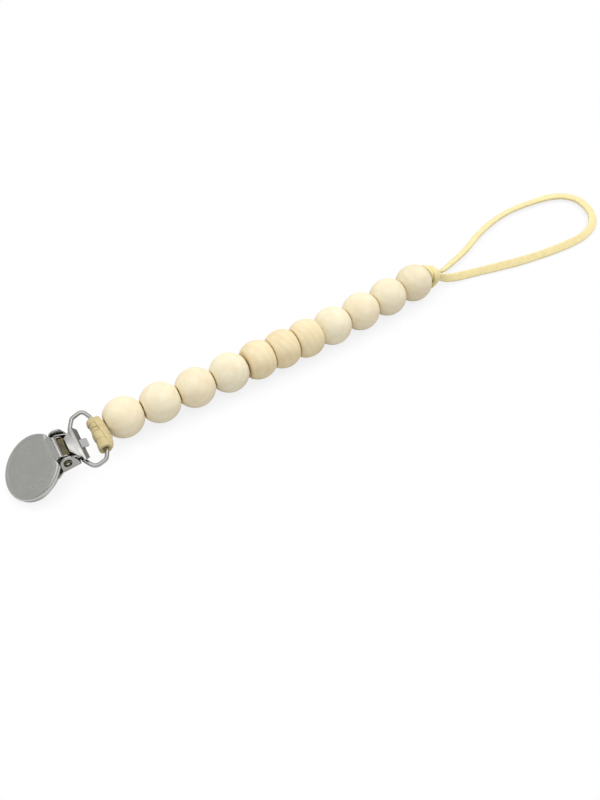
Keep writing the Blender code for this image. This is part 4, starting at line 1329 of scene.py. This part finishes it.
def makeFloor(size):
    # A plain floor. The camera sees the white behind it, with a painted shadow where the object is close, and
    # so the chain when it hangs lower than the table; mirrors and glass see its own colour, made paler.
    half = size["floorSize"] / 2
    corners = [(-half, -half, 0), (half, -half, 0), (half, half, 0), (-half, half, 0)]
    material = bpy.data.materials.new("floorPale")
    material.use_nodes = True
    tree = material.node_tree
    tree.nodes.remove(tree.nodes["Principled BSDF"])
    pale = addNode(tree, "ShaderNodeBsdfDiffuse", {"Color": (*grey(size["floorColour"]), 1.0)})
    strength = addMath(tree, "MULTIPLY", seenPlainly(tree), size["floorMirrored"])
    glow = addNode(tree, "ShaderNodeEmission", {"Color": (*grey(1.0), 1.0), "Strength": strength})
    own = addNode(tree, "ShaderNodeAddShader", {0: pale.outputs[0], 1: glow.outputs[0]})
    # The shade the camera sees on the floor is a painted shadow: it comes from an occlusion test near the
    # object, not from the lamps.
    reach = {"Distance": size["shadeReach"]}
    near = addNode(tree, "ShaderNodeAmbientOcclusion", reach, samples=size["shadeSamples"])
    shade = greyRamp(tree, near.outputs["AO"], ((0.0, size["shadeDark"]), (size["shadeEnd"], 1.0)))
    clear = addNode(tree, "ShaderNodeBsdfTransparent", {"Color": shade})
    camera = addNode(tree, "ShaderNodeLightPath").outputs["Is Camera Ray"]
    seen = addNode(tree, "ShaderNodeMixShader", {0: camera, 1: own.outputs[0], 2: clear.outputs[0]})
    tree.links.new(seen.outputs[0], tree.nodes["Material Output"].inputs["Surface"])
    floor = makeStagePiece("floor", corners, [(0, 1, 2, 3)], material)


def makeScreen(size):
    # An upright wall round the table: its top stands at the low angle, and higher about one side.
    turns = np.radians(np.arange(0, 361, size["screenStepDeg"]))
    away = np.abs((np.degrees(turns) - size["screenSideDeg"] + 180) % 360 - 180)
    share = np.clip(size["screenFull"] - away / size["screenSpreadDeg"], 0, 1)
    low, high, radius = size["screenLowDeg"], size["screenHighDeg"], size["screenRadius"]
    rise = low + (high - low) * share**2 * (3 - 2 * share)
    tops = radius * np.tan(np.radians(rise))
    around = np.stack([radius * np.cos(turns), radius * np.sin(turns)], 1)
    points = np.concatenate([np.column_stack([around, tops]), np.column_stack([around, 0 * tops])])
    material, tree, shader = newMaterial("screenGrey")
    paint = addNode(tree, "ShaderNodeAttribute", attribute_name="shade").outputs["Fac"]
    tree.links.new(greyRamp(tree, paint, ((0.0, 0.0), (1.0, 1.0))), shader.inputs["Base Color"])
    shader.inputs["Roughness"].default_value = 1.0
    screen = makeStagePiece("screen", points.tolist(), gridFaces(2, len(turns)), material)
    shade = np.tile(size["screenGrey"] + (size["screenPale"] - size["screenGrey"]) * share, 2)
    layer = screen.data.attributes.new("shade", "FLOAT", "POINT")
    layer.data.foreach_set("value", shade.astype(np.float32))
    screen.visible_camera = False
    screen.visible_diffuse = False
    screen.visible_shadow = False


def makeWorld(size):
    # White to the camera, mirrors and glass, and a plain pale grey as a light.
    world = bpy.data.worlds.new("studio")
    world.use_nodes = True
    tree = world.node_tree
    seen = blendColour(tree, seenPlainly(tree), grey(size["sky"]), grey(1.0))
    tree.links.new(seen, tree.nodes["Background"].inputs["Color"])
    tree.nodes["Background"].inputs["Strength"].default_value = 1.0
    bpy.context.scene.world = world


def makeLights(size):
    # Square soft lights, turned to what they light.
    for index, (place, aim, side, power, inMirrors) in enumerate(size["lights"]):
        light = bpy.data.lights.new(f"softLight{index + 1}", "AREA")
        light.size = side
        light.energy = power
        holder = bpy.data.objects.new(light.name, light)
        holder.location = place
        away = np.array(place) - np.array(aim)
        tilt = math.atan2(math.hypot(away[0], away[1]), away[2])
        holder.rotation_euler = (tilt, 0.0, math.atan2(away[1], away[0]) + math.pi / 2)
        holder.visible_glossy = inMirrors
        bpy.context.scene.collection.objects.link(holder)


makeFloor(studio)
makeScreen(studio)
makeWorld(studio)
makeLights(studio)
bpy.context.scene.view_settings.view_transform = "Standard"
bpy.context.scene.view_settings.look = "None"
print("studio made")
